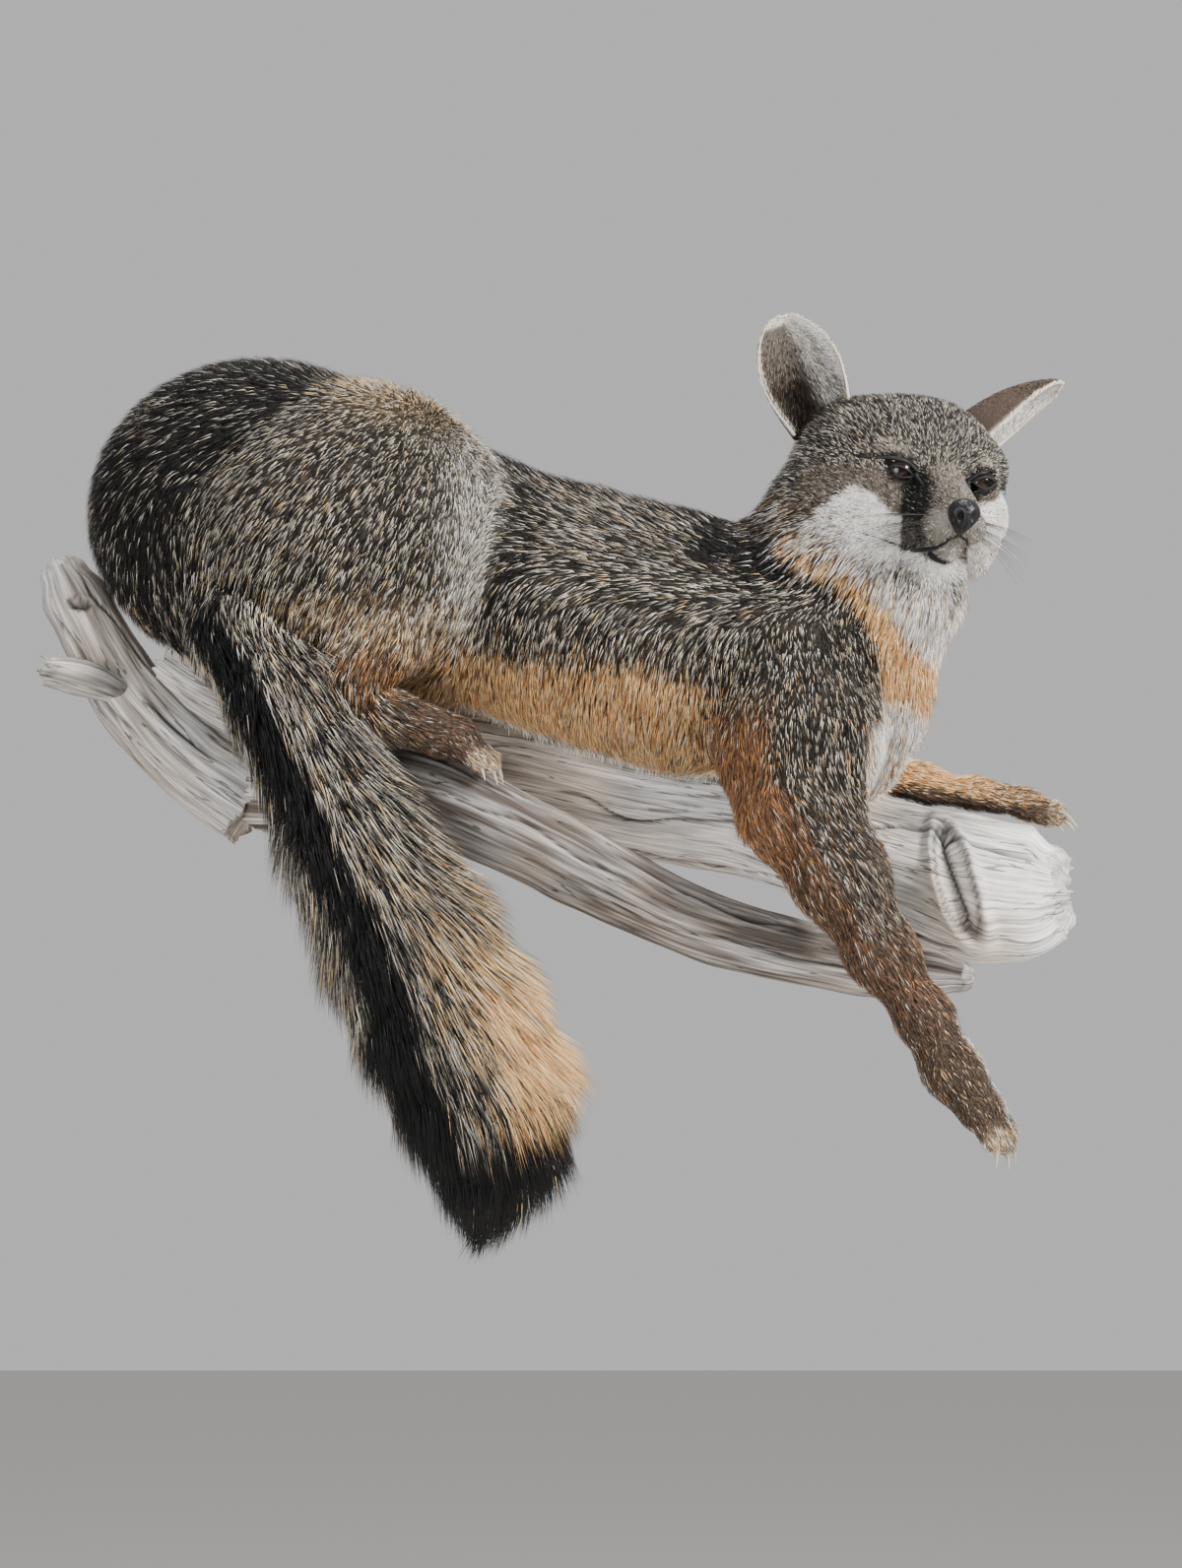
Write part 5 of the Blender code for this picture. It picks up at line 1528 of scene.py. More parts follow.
def grow_coat(skin, material):
    vertices, normals, triangles = mesh_arrays(skin)
    centres = vertices[triangles].mean(axis=1)
    share, _ = body_map(centres)
    density = blended(share, DENSITY)
    fluff = head_fluff(centres)
    head = share[HEAD]
    density = density * (1.0 + head * 1.6 * (1.0 - fluff))
    facing = ramp(normals[triangles].mean(axis=1)[:, 1], 0.2, 0.6) * (1.0 - head)
    density = density * (1.0 - (1.0 - FAR_SIDE) * facing)
    density[bare(centres)] = 0.0
    density[wood_value(centres) < -0.001] = 0.0
    total = TUFT_TOTAL
    roots, normal = scatter(triangles, vertices, normals, density, total)
    roots = roots.astype(np.float32)
    share, flow = body_map(roots)
    keep = ~bare(roots)
    roots, normal, share, flow = roots[keep], normal[keep], share[:, keep], flow[keep]
    length, width = tuft_lengths(roots, share)
    depth = coat_depth(roots)
    slope = np.degrees(np.arcsin(np.clip(1.1 * depth / length, 0.12, 0.75)))
    width = width * (1.0 + 0.5 * ramp(normal[:, 1], 0.2, 0.6))
    points = grow(roots - normal * 0.0004, normal, flow, length, width, slope)
    points = clear_of_wood(points)
    mix = hair_mix(roots, share)
    patchy = 1.0 + 0.16 * noise(roots / 0.012, 3)
    shade = patchy * RANDOM.uniform(0.78, 1.18, len(roots))
    colours = hair_colours(mix, RANDOM.random(len(roots)), shade)
    names = group_names(roots, share)
    made = []
    for group in sorted(set(names)):
        member = np.flatnonzero(names == group)
        pieces = -(-len(member) // TUFT_LIMIT)
        places = unwrap(roots[member], group)
        order = np.argsort(places[:, 1])
        for number, part in enumerate(np.array_split(order, pieces)):
            chosen = member[part]
            name = group if pieces == 1 else f"{group}_{number + 1}"
            made.append(tuft_mesh(name, points[chosen], colours[chosen], places[part], material))
    return made


def grow_ears(material):
    """Short hair on the backs of the ears, longer pale hair inside their rims."""
    count = EAR_TUFTS
    all_points, all_colours, all_places = [], [], []
    for number, name in enumerate(EAR_SHAPES):
        share = RANDOM.random(count) ** 0.8
        turn = RANDOM.uniform(-1.0, 1.0, count)
        outside = RANDOM.random(count) < 0.55
        fringe = ~outside
        edge = np.sign(turn) * (1.0 - RANDOM.random(count) ** 1.3 * 0.98)
        turn = np.where(fringe, edge, turn)
        middle, normal = ear_sheet(name, share, turn)
        ahead, _ = ear_sheet(name, np.minimum(share + 0.02, 1.0), turn * 0.995)
        inner_turn = np.clip(turn * 0.80, -1.0, 1.0)
        inward, _ = ear_sheet(name, np.minimum(share + 0.05, 1.0), inner_turn)
        flow = unit(np.where(fringe[:, None], unit(inward - middle) + 0.8 * unit(ahead - middle),
                             unit(ahead - middle) + 1e-4))
        facing = np.where(outside, 1.0, -1.0)[:, None]
        length = np.where(outside, 0.0040, 0.0095) * (1.0 - 0.45 * share)
        width = np.where(outside, 0.00030, 0.00026)
        slope = np.where(outside, 12.0, 20.0)
        roots = middle + normal * facing * EAR_SKIN * 0.3
        all_points.append(grow(roots, normal * facing, flow, length, width, slope))
        mix = ear_colours(name, share, turn, outside)
        shade = RANDOM.uniform(0.8, 1.15, count)
        all_colours.append(hair_colours(mix / mix.sum(axis=1, keepdims=True),
                                        RANDOM.random(count), shade))
        place = (turn + 1.0) / 2.0 * 0.48 + np.where(outside, 0.0, 0.52)
        all_places.append(np.stack([number + share * 0.9, place], axis=1))
    return tuft_mesh("coat_ears", np.concatenate(all_points), np.concatenate(all_colours),
                     np.concatenate(all_places), material)


# ---------------------------------------------------------------------- wood
WOOD_SPACING = 0.0016    # distance between neighbouring vertices of the wood
# Splits along the grain: where each starts and ends along the wood, its angle, width and depth.
LOG_CRACKS = [
    (0.05, 0.20, 0.3, 0.0012, 0.0040), (0.16, 0.34, 0.95, 0.0010, 0.0035),
    (0.22, 0.42, -0.35, 0.0009, 0.0030), (0.30, 0.50, 0.45, 0.0011, 0.0040),
    (0.02, 0.14, 1.6, 0.0012, 0.0040), (0.10, 0.30, 2.2, 0.0010, 0.0040),
    (0.26, 0.47, -1.2, 0.0010, 0.0040), (0.36, 0.48, 1.35, 0.0008, 0.0030),
    (0.12, 0.26, -0.9, 0.0008, 0.0025), (0.02, 0.30, -2.3, 0.0012, 0.0040),
]
BRANCH_CRACKS = [
    (0.10, 0.22, 0.1, 0.0008, 0.0025), (0.22, 0.38, 0.6, 0.0008, 0.0030),
    (0.24, 0.36, -0.4, 0.0007, 0.0025), (0.04, 0.16, 0.9, 0.0009, 0.0030),
    (0.12, 0.34, 2.4, 0.0009, 0.0030), (0.30, 0.40, 0.2, 0.0007, 0.0025),
]
KNOB_CRACKS = [
    (0.02, 0.09, 0.3, 0.0012, 0.0045), (0.06, 0.16, -0.6, 0.0010, 0.0030),
    (0.01, 0.07, 1.3, 0.0010, 0.0030), (0.09, 0.17, 0.8, 0.0008, 0.0025),
]
STUB_CRACKS = [(0.0, 0.06, 0.5, 0.0010, 0.0030)]
CRACK_WANDER = 0.25      # how far a crack strays to either side, in radians
CRACK_TAPER = 0.02       # length over which its ends close
STUB_POINTS = [
    ((-0.252, -0.074, 0.047), 0.010),
    ((-0.268, -0.091, 0.050), 0.0130),
    ((-0.286, -0.095, 0.053), 0.0105),
]
# The knob's end is drawn a little lower and thicker than the solid's.
KNOB_LINE = KNOB_POINTS[:-1] + [((-0.285, -0.066, 0.114), 0.0185)]
CAP_RINGS = 9            # rings between the rim and the middle of a broken end


def smooth_chain(chain_points, spacing):
    """Evenly spaced centres and radii along a smooth curve through the points."""
    centres = np.array([c for c, _ in chain_points])
    radii = np.array([r for _, r in chain_points])
    before, after = 2 * centres[0] - centres[1], 2 * centres[-1] - centres[-2]
    ahead = np.concatenate([[before], centres, [after]])
    fine, sizes = [], []
    steps = 24
    for number in range(len(centres) - 1):
        a, b, c, d = ahead[number:number + 4]
        for t in np.arange(steps) / steps:
            fine.append(0.5 * (2 * b + (c - a) * t + (2 * a - 5 * b + 4 * c - d) * t ** 2
                               + (3 * b - a - 3 * c + d) * t ** 3))
            soft = t * t * (3 - 2 * t)
            sizes.append(radii[number] * (1 - soft) + radii[number + 1] * soft)
    fine, sizes = np.array(fine + [centres[-1]]), np.array(sizes + [radii[-1]])
    lengths = np.concatenate([[0.0], np.cumsum(np.linalg.norm(np.diff(fine, axis=0), axis=1))])
    places = np.linspace(0.0, lengths[-1], max(int(lengths[-1] / spacing), 8))
    centre = np.stack([np.interp(places, lengths, fine[:, i]) for i in range(3)], axis=1)
    return centre, np.interp(places, lengths, sizes), places


def wood_axes(centre):
    """Directions along the wood, away from the wall and upward, at each ring."""
    heading = unit(np.gradient(centre, axis=0))
    toward = unit(ROOM - heading * (heading @ ROOM)[:, None])
    upward = np.cross(heading, toward)
    if abs(heading[0, 2]) < 0.9:
        upward = np.where(upward[:, 2:] < 0, -upward, upward)
    return heading, toward, upward


def grid_noise(places, seed):
    """Noise over a grid of places, in the grid's own shape."""
    return noise(places.reshape(-1, 3), seed).reshape(places.shape[:-1])


def angle_from(phi, turn):
    """Angles measured from turn, between -pi and pi."""
    return (phi - turn + math.pi) % (2 * math.pi) - math.pi


def cut_cracks(lift, split, s, phi, r, cracks, seed):
    """Cuts the cracks into the surface; split is 1 where the wood shows dark."""
    for number, (start, end, turn, width, depth) in enumerate(cracks):
        place = np.stack([s / 0.030, np.full_like(s, number * 7.3), np.zeros_like(s)], axis=-1)
        wander = grid_noise(place, seed + 20) * CRACK_WANDER
        aside = angle_from(phi, turn + wander)
        taper = ramp(s, start, start + CRACK_TAPER) * ramp(-s, -end, -end + CRACK_TAPER)
        hollow = np.exp(-(aside * r / width) ** 2) * taper
        lift -= hollow * depth
        np.maximum(split, hollow, out=split)


def raise_knot(lift, split, s, phi, r, knot, ripple):
    """Raises a ring round a hollow with a slit across it, where a twig once grew."""
    where, turn, half_length, half_width, height = knot
    aside = angle_from(phi, turn)
    lean = -0.43 * aside * r
    edge = np.sqrt(((s - where - lean) / half_length) ** 2 + (aside * r / half_width) ** 2)
    edge = edge + 0.08 * ripple
    lift += height * np.exp(-((edge - 1.0) / 0.22) ** 2)
    lift -= 1.3 * height * ramp(-edge, -0.85, -0.45)
    slit = np.exp(-((s - where - lean) / 0.0016) ** 2) * ramp(-edge, -0.95, -0.70)
    lift -= 0.006 * slit
    np.maximum(split, 0.8 * np.exp(-((edge - 0.80) / 0.10) ** 2), out=split)
    np.maximum(split, slit, out=split)


def end_cap(rim, heading, seed, ragged, dome):
    """Rings from the rim of a broken end in to its middle; dome is None at the near end."""
    middle = rim.mean(axis=0)
    sink = -1 if dome is not None else 1
    rings = []
    for number in range(1, CAP_RINGS + 1):
        share = number / (CAP_RINGS + 0.35)
        inward = 1.0 - math.cos(0.5 * math.pi * share) if dome else share
        ring = rim * (1.0 - inward) + middle * inward
        dent = noise(ring / 0.0035, seed + 11) * ragged * 0.55
        if dome is not None:
            dent = dent + dome * math.sin(0.5 * math.pi * share)
        dent = dent + ragged * 0.4 * sink
        rings.append(ring + heading * dent[:, None])
    return np.array(rings)


def sweep_wood(name, chain_points, seed, cracks, material, ragged, knot=None, flatten=None,
               bright=0.0, painted_highlight_span=None, dome=0.0, rim=0.13):
    """A weathered branch: angle 0 points away from the wall, pi / 2 upward.

    ragged is how jagged its two ends are, knot a ring round a slit (place, angle, half length,
    half width, height), bleached where it turns paler as a painted highlight, and dome and rim how
    its far end rounds.
    """
    centre, radius, along = smooth_chain(chain_points, WOOD_SPACING)
    heading, toward, upward = wood_axes(centre)
    sides = int(2 * math.pi * radius.max() / (WOOD_SPACING * 0.95))
    angle = np.linspace(-math.pi, math.pi, sides, endpoint=False)
    s, phi = np.meshgrid(along, angle, indexing="ij")
    r = np.repeat(radius[:, None], sides, axis=1)
    ring_x, ring_y = np.cos(phi), np.sin(phi)

    def along_noise(length, across, number):
        place = np.stack([s / length, ring_x * r / across, ring_y * r / across], axis=-1)
        return grid_noise(place, seed + number)

    def end_noise(fineness, number):
        place = np.stack([ring_x * fineness, ring_y * fineness, np.zeros_like(s)], axis=-1)
        return grid_noise(place, seed + number)

    lumps = 0.075 * along_noise(0.045, 0.022, 1) + 0.030 * along_noise(0.016, 0.010, 2)
    grain = along_noise(0.050, 0.0032, 3) * 0.6 + along_noise(0.026, 0.0017, 4) * 0.4
    streak = along_noise(0.070, 0.0060, 5)
    lift = lumps * r + 0.00065 * grain
    split = np.zeros_like(s)
    cut_cracks(lift, split, s, phi, r, cracks, seed)
    if knot:
        raise_knot(lift, split, s, phi, r, knot, along_noise(0.008, 0.008, 6))
    reach = r + lift
    if dome:
        reach = reach * (1.0 - rim * ramp(s, along[-1] - 0.022, along[-1]) ** 2)
    jag = end_noise(2.2, 8) + 0.5 * end_noise(9.0, 9)
    near_start = ramp(-s, -0.030, 0.0)
    near_end = ramp(s, along[-1] - 0.030, along[-1])
    push = jag * (ragged[1] * near_end - ragged[0] * near_start)
    wide, tall = flatten or (1.0, 1.0)
    places = (centre[:, None] + toward[:, None] * (reach * ring_x * wide)[..., None]
              + upward[:, None] * (reach * ring_y * tall)[..., None]
              + heading[:, None] * push[..., None])
    hair_grain = along_noise(0.034, 0.0011, 7)
    tone = 0.50 + bright + 0.34 * streak + 0.32 * grain + 0.30 * hair_grain
    # painted highlight: the wood turns paler over this span
    if painted_highlight_span:
        tone = tone + 0.45 * ramp(s, *painted_highlight_span)

    first = end_cap(places[0], heading[0], seed, ragged[0], None)[::-1]
    last = end_cap(places[-1], heading[-1], seed, ragged[1], dome)
    first_tone, last_tone = (0.55 + 0.30 * grid_noise(cap / 0.0022, seed + 12)
                             for cap in (first, last))
    last_tone = last_tone + (bright if dome else 0.0)
    blank = np.zeros_like(first_tone)
    lengths = np.concatenate([blank, s, blank + along[-1]]).ravel()
    angles = np.tile(angle, len(lengths) // sides)
    vertices = np.concatenate([first, places, last]).reshape(-1, 3)
    vertices[:, 1] = np.minimum(vertices[:, 1], -PLATE_DEPTH - SEAM)
    index = np.arange(len(vertices)).reshape(-1, sides)
    beside = np.roll(index, -1, axis=1)
    faces = np.stack([index[:-1], index[1:], beside[1:], beside[:-1]], axis=-1).reshape(-1, 4)
    tone = np.clip(np.concatenate([first_tone, tone, last_tone]).ravel(), 0.0, 1.0)
    split = np.clip(np.concatenate([blank, split, blank]).ravel(), 0.0, 1.0)
    tint = wood_tint(vertices, tone, split, seed)
    wood = new_mesh(name, vertices, faces, [material], {"coat": tint})
    close_ends(wood)
    grain_layer = wood.data.attributes.new("grain", "FLOAT_VECTOR", "POINT")
    place = np.stack([lengths, np.cos(angles) * radius.mean(),
                      np.sin(angles) * radius.mean()], axis=1)
    grain_layer.data.foreach_set("vector", place.astype(np.float32).ravel())
    return wood


def wood_tint(vertices, tone, split, seed):
    """Grey wood from dark to pale by tone, warmer in places and brown in its splits."""
    dark, pale = colour(84, 76, 70), colour(222, 220, 218)
    tint = dark + (pale - dark) * tone[:, None]
    warm = np.clip(noise(vertices / 0.030, seed + 14) * 0.5 + 0.2, 0.0, 1.0)[:, None]
    tint = tint * (1.0 + warm * (colour(235, 215, 190) / colour(225, 225, 225) - 1.0))
    return tint * (1.0 - split[:, None]) + colour(46, 38, 32) * split[:, None]


def close_ends(obj):
    """Caps the two small rings left open and turns the faces outward."""
    mesh = bmesh.new()
    mesh.from_mesh(obj.data)
    edges = [e for e in mesh.edges if len(e.link_faces) == 1]
    bmesh.ops.contextual_create(mesh, geom=edges)
    bmesh.ops.holes_fill(mesh, edges=[e for e in mesh.edges if len(e.link_faces) == 1])
    bmesh.ops.recalc_face_normals(mesh, faces=mesh.faces)
    mesh.to_mesh(obj.data)
    mesh.free()
    shade_smooth(obj.data)


# --------------------------------------------------- eyes, nose, claws, whiskers
def ball_points(segments, rings):
    """Unit sphere whose poles lie on the local Z axis."""
    mesh = bmesh.new()
    bmesh.ops.create_uvsphere(mesh, u_segments=segments, v_segments=rings, radius=1.0)
    bmesh.ops.triangulate(mesh, faces=mesh.faces)
    points = np.array([v.co for v in mesh.verts])
    faces = [[v.index for v in f.verts] for f in mesh.faces]
    mesh.free()
    # each face from its lowest vertex, and all in order, so that every run gives the same mesh
    faces = sorted(face[face.index(min(face)):] + face[:face.index(min(face))] for face in faces)
    return points, np.array(faces)


def to_world(local):
    return local @ np.array(HEAD_TURN.to_matrix()).T + np.array(HEAD_ORIGIN)


def make_eye(name, side, material):
    points, faces = ball_points(64, 48)
    centre, gaze, outward, upward = eye_frame(side)
    forward = points @ gaze
    x, y = points @ outward, points @ upward
    pupil = np.sqrt((x / 0.26) ** 2 + (y / 0.32) ** 2)
    iris = np.sqrt(x * x + y * y) / 0.62
    mix = ramp(pupil, 1.05, 0.90)[:, None]
    ring = ramp(iris, 0.98, 1.08)[:, None]
    spokes = np.stack([np.arctan2(y, x) * 14.0, iris * 2.0, x * 0], axis=1)
    fibres = 1.0 + 0.3 * noise(spokes, 5)[:, None]
    iris_colour = colour(34, 22, 15) * fibres
    tint = iris_colour * (1.0 - mix) + colour(8, 7, 7) * mix
    tint = tint * (1.0 - ring) + colour(12, 9, 8) * ring
    tint[forward < 0] = colour(12, 9, 8)
    bulge = 1.0 + 0.03 * ramp(forward, 0.80, 1.0)
    vertices = to_world(centre + points * EYE_RADIUS * 0.985 * bulge[:, None])
    return new_mesh(name, vertices, faces, [material], {"coat": tint})


def make_nose(material):
    points, faces = ball_points(96, 72)
    local = points * np.array(NOSE_PAD[1])
    lift = np.zeros(len(points))
    for side in (-1, 1):
        hole = np.array((side * 0.0044, -0.0062, -0.0012))
        far = np.linalg.norm((local - hole) / np.array((1.0, 1.0, 1.25)), axis=1)
        lift -= 0.0030 * np.exp(-(far / 0.0017) ** 2)
        tail = np.array((side * 0.0070, -0.0035, -0.0030))
        lift -= 0.0016 * np.exp(-(np.linalg.norm(local - tail, axis=1) / 0.0014) ** 2)
    lift -= 0.0008 * np.exp(-(local[:, 0] / 0.0006) ** 2) * ramp(-local[:, 1], 0.003, 0.006) \
        * ramp(-local[:, 2], -0.001, 0.001)
    lift += 0.00012 * noise(local / 0.0007, 9)
    local = local + points * lift[:, None]
    below = np.clip(-points[:, 2], 0.0, 1.0)
    local[:, 0] *= 0.94 * (1.0 - 0.58 * below ** 1.4)
    local[:, 1] += 0.0026 * below ** 2
    local[:, 2] *= np.where(points[:, 2] > 0, 0.90, 1.22)
    local[:, 0] -= 0.0010
    return new_mesh("nose_pad", to_world(local + np.array(NOSE_PAD[0])), faces, [material])


def ring_faces(count, sides, start=0, loop=False):
    """Quads between neighbouring rings of vertices; a loop joins the last ring to the first."""
    faces = []
    for ring in range(count if loop else count - 1):
        here, following = start + ring * sides, start + (ring + 1) % count * sides
        for step in range(sides):
            beside = (step + 1) % sides
            faces.append((here + step, here + beside, following + beside, following + step))
    return faces


def tube(path, radii, loop, sides=10):
    """Vertices and faces of a round cord along a path; its ends are left open."""
    path = np.array(path)
    ahead = np.roll(path, -1, axis=0) - np.roll(path, 1, axis=0)
    if not loop:
        ahead[0], ahead[-1] = path[1] - path[0], path[-1] - path[-2]
    ahead = unit(ahead)
    first = unit(np.cross(ahead, np.array((0.13, 0.21, 0.97))))
    second = np.cross(ahead, first)
    turn = 2.0 * math.pi * np.arange(sides) / sides
    rings = (path[:, None, :] + radii[:, None, None]
             * (first[:, None, :] * np.cos(turn)[None, :, None]
                + second[:, None, :] * np.sin(turn)[None, :, None]))
    return rings.reshape(-1, 3), ring_faces(len(path), sides, loop=loop)


def spread(line, count):
    """Evenly spaced points along a smooth line through the given ones."""
    line = np.array(line)
    share = np.linspace(0.0, 1.0, count)
    knots = np.linspace(0.0, 1.0, len(line))
    smooth = np.stack([np.interp(share, knots, line[:, axis]) for axis in range(3)], axis=1)
    for _ in range(max(2, count // 6)):
        smooth[1:-1] = 0.5 * smooth[1:-1] + 0.25 * (smooth[:-2] + smooth[2:])
    return smooth


def lid_path(side, count=48):
    """The edge of the lids of one eye, over the eyeball, and the thickness of its rim."""
    centre, gaze, outward, upward = eye_frame(side)
    _, _, shift, half_width, upper, lower = EYES[side]
    turn = 2.0 * math.pi * np.arange(count) / count
    across = np.cos(turn)
    above = np.sin(turn) > 0
    x = shift + half_width * across
    y = np.where(above, upper, -lower) * (1.0 - across ** 2)
    forward = np.sqrt((EYE_RADIUS + 0.0004) ** 2 - x * x - y * y)
    path = centre + np.outer(x, outward) + np.outer(y, upward) + np.outer(forward, gaze)
    return path, np.where(above, 0.00075, 0.00055)


def make_lids_and_lips(skin, material):
    """Dark bare rims of the eyes and the edges of the mouth, lying on the skin."""
    tree = BVHTree.FromPolygons([v.co[:] for v in skin.data.vertices],
                                [p.vertices[:] for p in skin.data.polygons])

    def on_skin(line, count, lift):
        places = []
        for point in to_world(spread(line, count)):
            place, normal, _, _ = tree.find_nearest(Vector(point))
            places.append(np.array(place) + lift * np.array(normal))
        places = np.array(places)
        for _ in range(6):
            places[1:-1] = 0.5 * places[1:-1] + 0.25 * (places[:-2] + places[2:])
        return places

    def mirrored_line(line, side):
        return [mirrored(point, side) for point in line]

    pieces = []
    for side in EYES:
        path, radii = lid_path(side)
        pieces.append(tube(to_world(path), radii, True))
        line = LID_LINE if side < 0 else LID_LINE[2:]
        swell = np.interp(np.linspace(0.0, 1.0, 36), [0.0, 0.4, 0.75, 1.0], [0.25, 0.75, 1.0, 0.55])
        pieces.append(tube(on_skin(mirrored_line(line, side), 36, 0.0007), 0.0013 * swell, False))
        swell = np.sin(np.linspace(0.5, 0.95, 14) * math.pi)
        line = mirrored_line(TEAR_LINE, side)
        pieces.append(tube(on_skin(line, 14, 0.0003), 0.0013 * swell, False))
        swell = np.interp(np.linspace(0.0, 1.0, 40), [0.0, 0.35, 0.7, 1.0], [0.9, 1.0, 0.7, 0.15])
        # shorter edge of the lips on the left side: painted light
        line = mirrored_line(MOUTH_LINE, side) if side < 0 else LEFT_MOUTH
        pieces.append(tube(on_skin(line, 40, 0.0003), 0.00105 * swell, False))
        swell = np.interp(np.linspace(0.0, 1.0, 20), [0.0, 0.4, 1.0], [0.4, 1.0, 1.0])
        # the lower lip's cord is thinner on the left side: painted light
        thick = 0.0021 if side < 0 else 0.0010
        line = mirrored_line(LOWER_LIP, side)
        pieces.append(tube(on_skin(line, 20, 0.0), thick * swell, False))
    groove = [(-0.0006, -0.0535, -0.0275), (0.0, -0.0505, -0.0295), (0.0, -0.0480, -0.0312)]
    pieces.append(tube(on_skin(groove, 10, 0.0002), np.full(10, 0.0008), False))
    vertices, faces, start = [], [], 0
    for points, rings in pieces:
        vertices.append(points)
        faces.extend(tuple(index + start for index in face) for face in rings)
        start += len(points)
    trim = new_mesh("lids_and_lips", np.concatenate(vertices), faces, [material])
    close_ends(trim)
    return trim


def make_claws(material):
    rings, sides = 12, 12
    vertices, faces, tints = [], [], []
    for paw in PAWS.values():
        heading0, across = np.array(paw.heading), np.array(paw.across)
        down0 = np.cross(heading0, across)
        down0 = -down0 if down0[2] > 0 else down0
        for number in range(4):
            _, tip, heading = paw.toe(number)
            heading = np.array(heading)
            root = np.array(tip) + heading * paw.toe_radius * 0.3
            down = down0 - heading * (down0 @ heading)
            down /= np.linalg.norm(down)
            side = np.cross(heading, down)
            start = len(vertices)
            for ring in range(rings + 1):
                share = ring / rings
                size = CLAW_RADIUS * (1.0 - 0.93 * share ** 1.3)
                bend = CLAW_LENGTH * 0.40 * share ** 1.8
                centre = root + heading * CLAW_LENGTH * 0.98 * share + down * bend
                for step in range(sides):
                    turn = 2 * math.pi * step / sides
                    vertices.append(centre + side * math.cos(turn) * size * 0.75
                                    + down * math.sin(turn) * size * 1.15)
                    tints.append(colour(96, 84, 72) * (1 - share) + colour(196, 184, 164) * share)
            faces += ring_faces(rings + 1, sides, start)
    claws = new_mesh("claws", vertices, faces, [material], {"coat": np.array(tints)})
    close_ends(claws)
    return claws


WHISKER_ROWS = 3
WHISKERS_IN_ROW = 4


def make_whiskers(material):
    vertices, faces = [], []
    rings, sides = 14, 5
    for side in (-1, 1):
        for row in range(WHISKER_ROWS):
            for number in range(WHISKERS_IN_ROW):
                root = np.array((side * (0.0085 + 0.0014 * number),
                                 -0.0440 + 0.0052 * number, -0.0205 - 0.0030 * row))
                aim = unit(np.array((side * 1.0, 0.10 + 0.22 * number, -0.05 - 0.16 * row)))
                length = 0.030 + 0.007 * number + 0.004 * RANDOM.random()
                sag = np.array((0.0, 0.30, -0.22))
                start = len(vertices)
                for ring in range(rings + 1):
                    share = ring / rings
                    centre = root + aim * length * share + sag * length * 0.5 * share ** 2
                    size = 0.00024 * (1.0 - 0.88 * share)
                    for step in range(sides):
                        turn = 2 * math.pi * step / sides
                        around_it = np.array((0.0, math.cos(turn), math.sin(turn)))
                        vertices.append(centre + size * around_it)
                faces += ring_faces(rings + 1, sides, start)
    whiskers = new_mesh("whiskers", to_world(np.array(vertices)), faces, [material])
    close_ends(whiskers)
    return whiskers


# --------------------------------------------------------------------- scene
FLOOR_HALF = 12.0                # half the floor's side
FLOOR_LEVEL = -0.95
CAMERA_PLACE = (0.0, -1.19596, -0.24170)
CAMERA_TILT = 102.0              # degrees from looking straight down
CAMERA_LENS, CAMERA_SENSOR = 50.0, 36.0      # mm


def add_light(name, place, aim, size, power, tint=(1.0, 1.0, 1.0)):
    light = bpy.data.lights.new(name, "AREA")
    light.shape = "DISK"
    light.size = size
    light.energy = power
    light.color = tint
    obj = add_object(name, light)
    obj.location = place
    obj.rotation_euler = (Vector(aim) - Vector(place)).to_track_quat("-Z", "Y").to_euler()


def add_stage():
    """The floor below the mount, the even grey world and four lamps."""
    mesh = bpy.data.meshes.new("floor")
    corners = [(x * FLOOR_HALF, y * FLOOR_HALF, FLOOR_LEVEL)
               for x, y in ((-1, -1), (1, -1), (1, 1), (-1, 1))]
    mesh.from_pydata(corners, [], [(0, 1, 2, 3)])
    floor = add_object("floor", mesh)
    mesh.materials.append(plain_material(*FLOOR_LOOK))
    world = bpy.data.worlds.new("studio")
    bpy.context.scene.world = world
    world.use_nodes = True
    background = world.node_tree.nodes["Background"]
    background.inputs["Color"].default_value = (0.80, 0.80, 0.80, 1.0)
    background.inputs["Strength"].default_value = 0.70
    add_light("key", (1.9, -1.6, 0.75), (0.0, -0.1, 0.0), 0.6, 115.0, (1.0, 0.98, 0.95))
    add_light("fill", (-1.0, -2.3, -0.2), (0.0, -0.1, 0.0), 1.4, 48.0, (0.97, 0.98, 1.0))
    add_light("top", (0.3, -0.5, 1.9), (0.0, -0.1, 0.0), 1.0, 30.0)
    add_light("behind", (-0.6, 1.8, 0.9), (0.0, -0.1, 0.0), 1.2, 16.0)


def add_camera():
    """The photo's camera."""
    data = bpy.data.cameras.new("camera")
    data.lens = CAMERA_LENS
    data.sensor_width = CAMERA_SENSOR
    camera = add_object("camera", data)
    camera.location = CAMERA_PLACE
    camera.rotation_euler = (math.radians(CAMERA_TILT), 0.0, 0.0)
    bpy.context.scene.camera = camera


def settle_piece(obj, slot, *nodes):
    """Fixes a piece to the body; nodes are the solids it stands for."""
    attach(obj, "root")
    if nodes:
        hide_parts(*nodes)


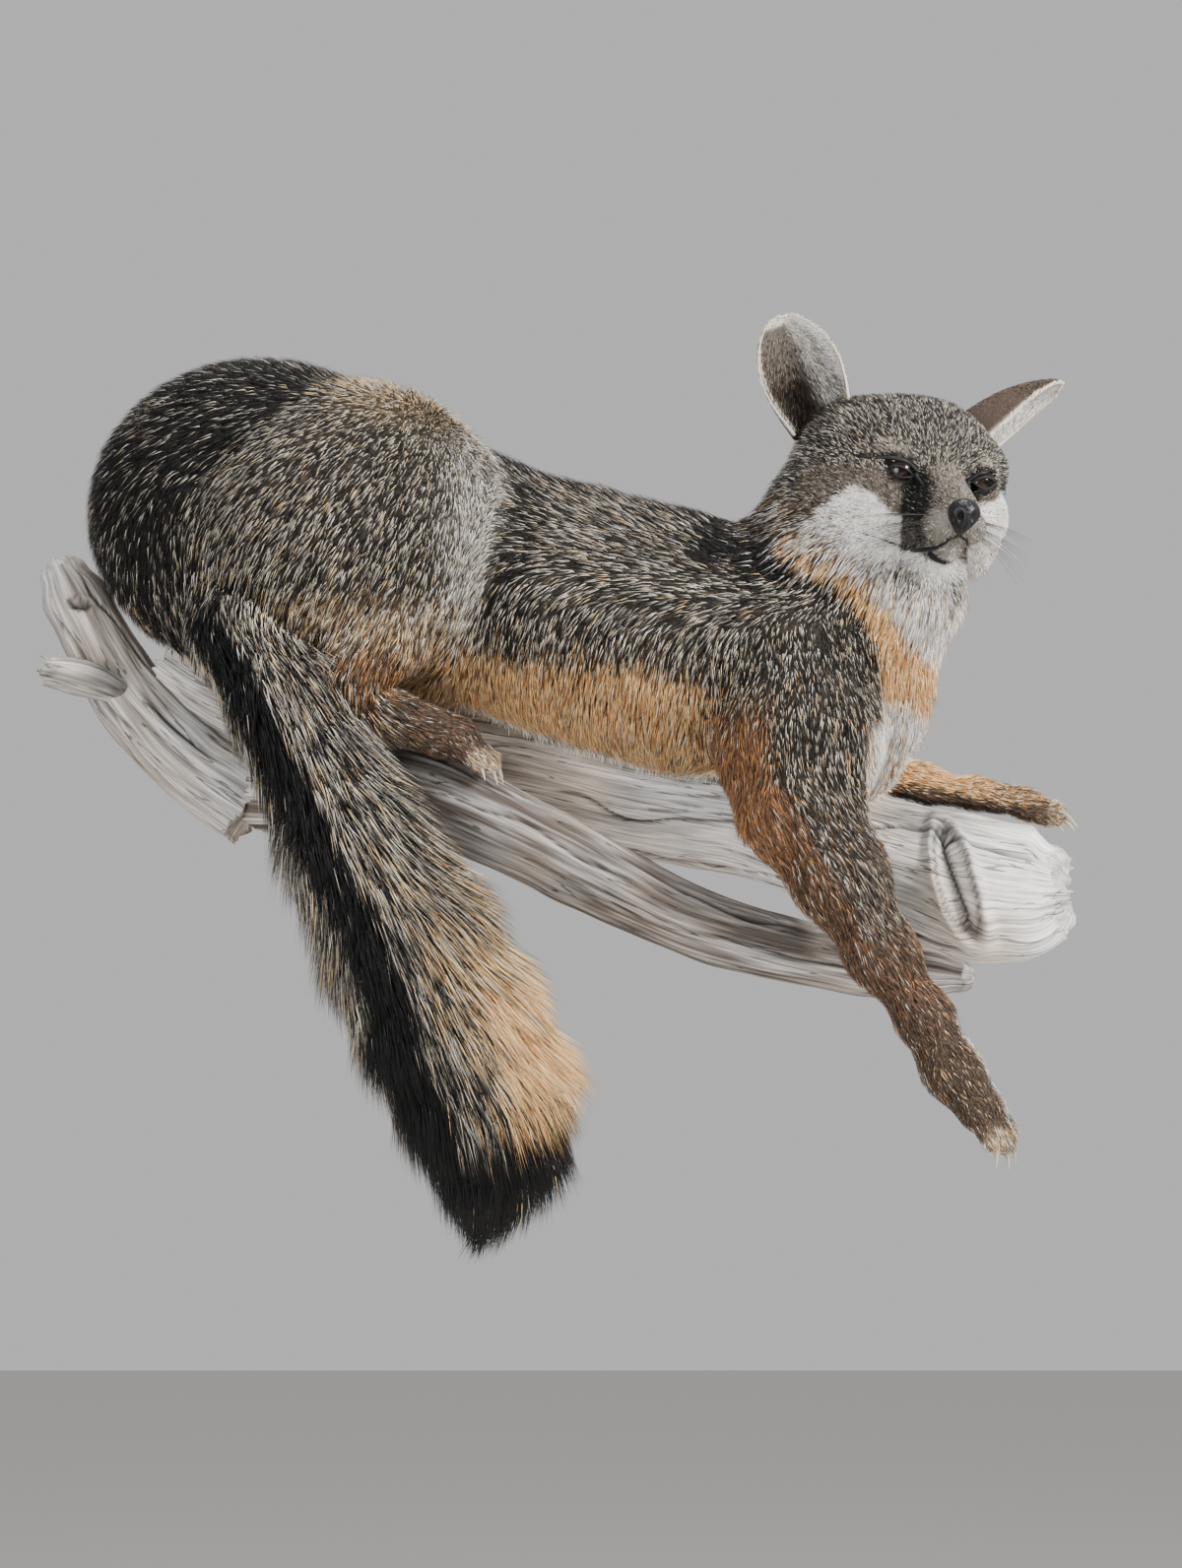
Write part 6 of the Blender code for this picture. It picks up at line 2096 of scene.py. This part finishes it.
def make_fox():
    """Skin, coat, ears and the details of the face and feet."""
    skin_shader = plain_material(*SKIN_LOOK)
    skin = make_skin(skin_shader)
    places, _, _ = mesh_arrays(skin)
    share, _ = body_map(places)
    mix = hair_mix(places, share)
    darkness = SKIN_DARKNESS + HEAD_LIGHTER * share[HEAD]
    set_colour(skin.data, "coat", skin_colours(mix, darkness))
    fur = plain_material(*FUR_LOOK)
    coats = grow_coat(skin, fur)
    lids_and_lips = make_lids_and_lips(skin, plain_material(*LID_LOOK))
    ears = [make_ear(name, skin_shader) for name in EAR_SHAPES]
    skin = join([skin] + ears)
    coats.append(grow_ears(fur))
    settle_piece(skin, "fur_grizzled", *PARTS, "ear_right", "ear_left")
    for coat in coats:
        settle_piece(coat, "fur_grizzled")

    eye_shader = plain_material(*EYE_LOOK)
    for name, side in (("eye_right", -1), ("eye_left", 1)):
        settle_piece(make_eye(name + "_glass", side, eye_shader), "eye_glass", name)
    settle_piece(make_nose(plain_material(*NOSE_LOOK)), "nose_leather", "nose")
    settle_piece(lids_and_lips, "nose_leather")
    claw_nodes = [f"claw_{part}_{number}" for part in PAWS for number in (1, 2, 3, 4)]
    settle_piece(make_claws(plain_material(*CLAW_LOOK)), "claw_horn", *claw_nodes)
    settle_piece(make_whiskers(plain_material(*WHISKER_LOOK)), "fur_face")


def make_mount():
    """The log, its two branches and the look of the wall plate."""
    wood_shader = wood_material()
    # the log's far end is painted paler: a painted highlight
    log = sweep_wood("log_wood", LOG_POINTS, 11, LOG_CRACKS, wood_shader, (0.010, 0.009),
                     knot=(0.446, -0.12, 0.011, 0.034, 0.0045), bright=0.20,
                     painted_highlight_span=(0.42, 0.48), dome=0.013)
    settle_piece(log, "driftwood", "log")
    branch = sweep_wood("lower_branch_wood", BRANCH_POINTS, 31, BRANCH_CRACKS, wood_shader,
                        (0.004, 0.001), bright=-0.26, dome=0.009, rim=0.34)
    settle_piece(branch, "driftwood", "lower_branch")
    knob = sweep_wood("knob_branch_wood", KNOB_LINE, 51, KNOB_CRACKS, wood_shader, (0.004, 0.002),
                      knot=(0.144, 0.10, 0.0055, 0.0060, 0.0016), dome=0.011, rim=0.30)
    stub = sweep_wood("stub", STUB_POINTS, 71, STUB_CRACKS, wood_shader, (0.002, 0.005),
                      flatten=(1.45, 0.72))
    knob = join([knob, stub])
    settle_piece(knob, "driftwood", "knob_branch")
    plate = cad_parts["wall_plate"]
    plate.data.materials.clear()
    plate.data.materials.append(plate_material())


make_fox()
make_mount()
add_stage()
add_camera()
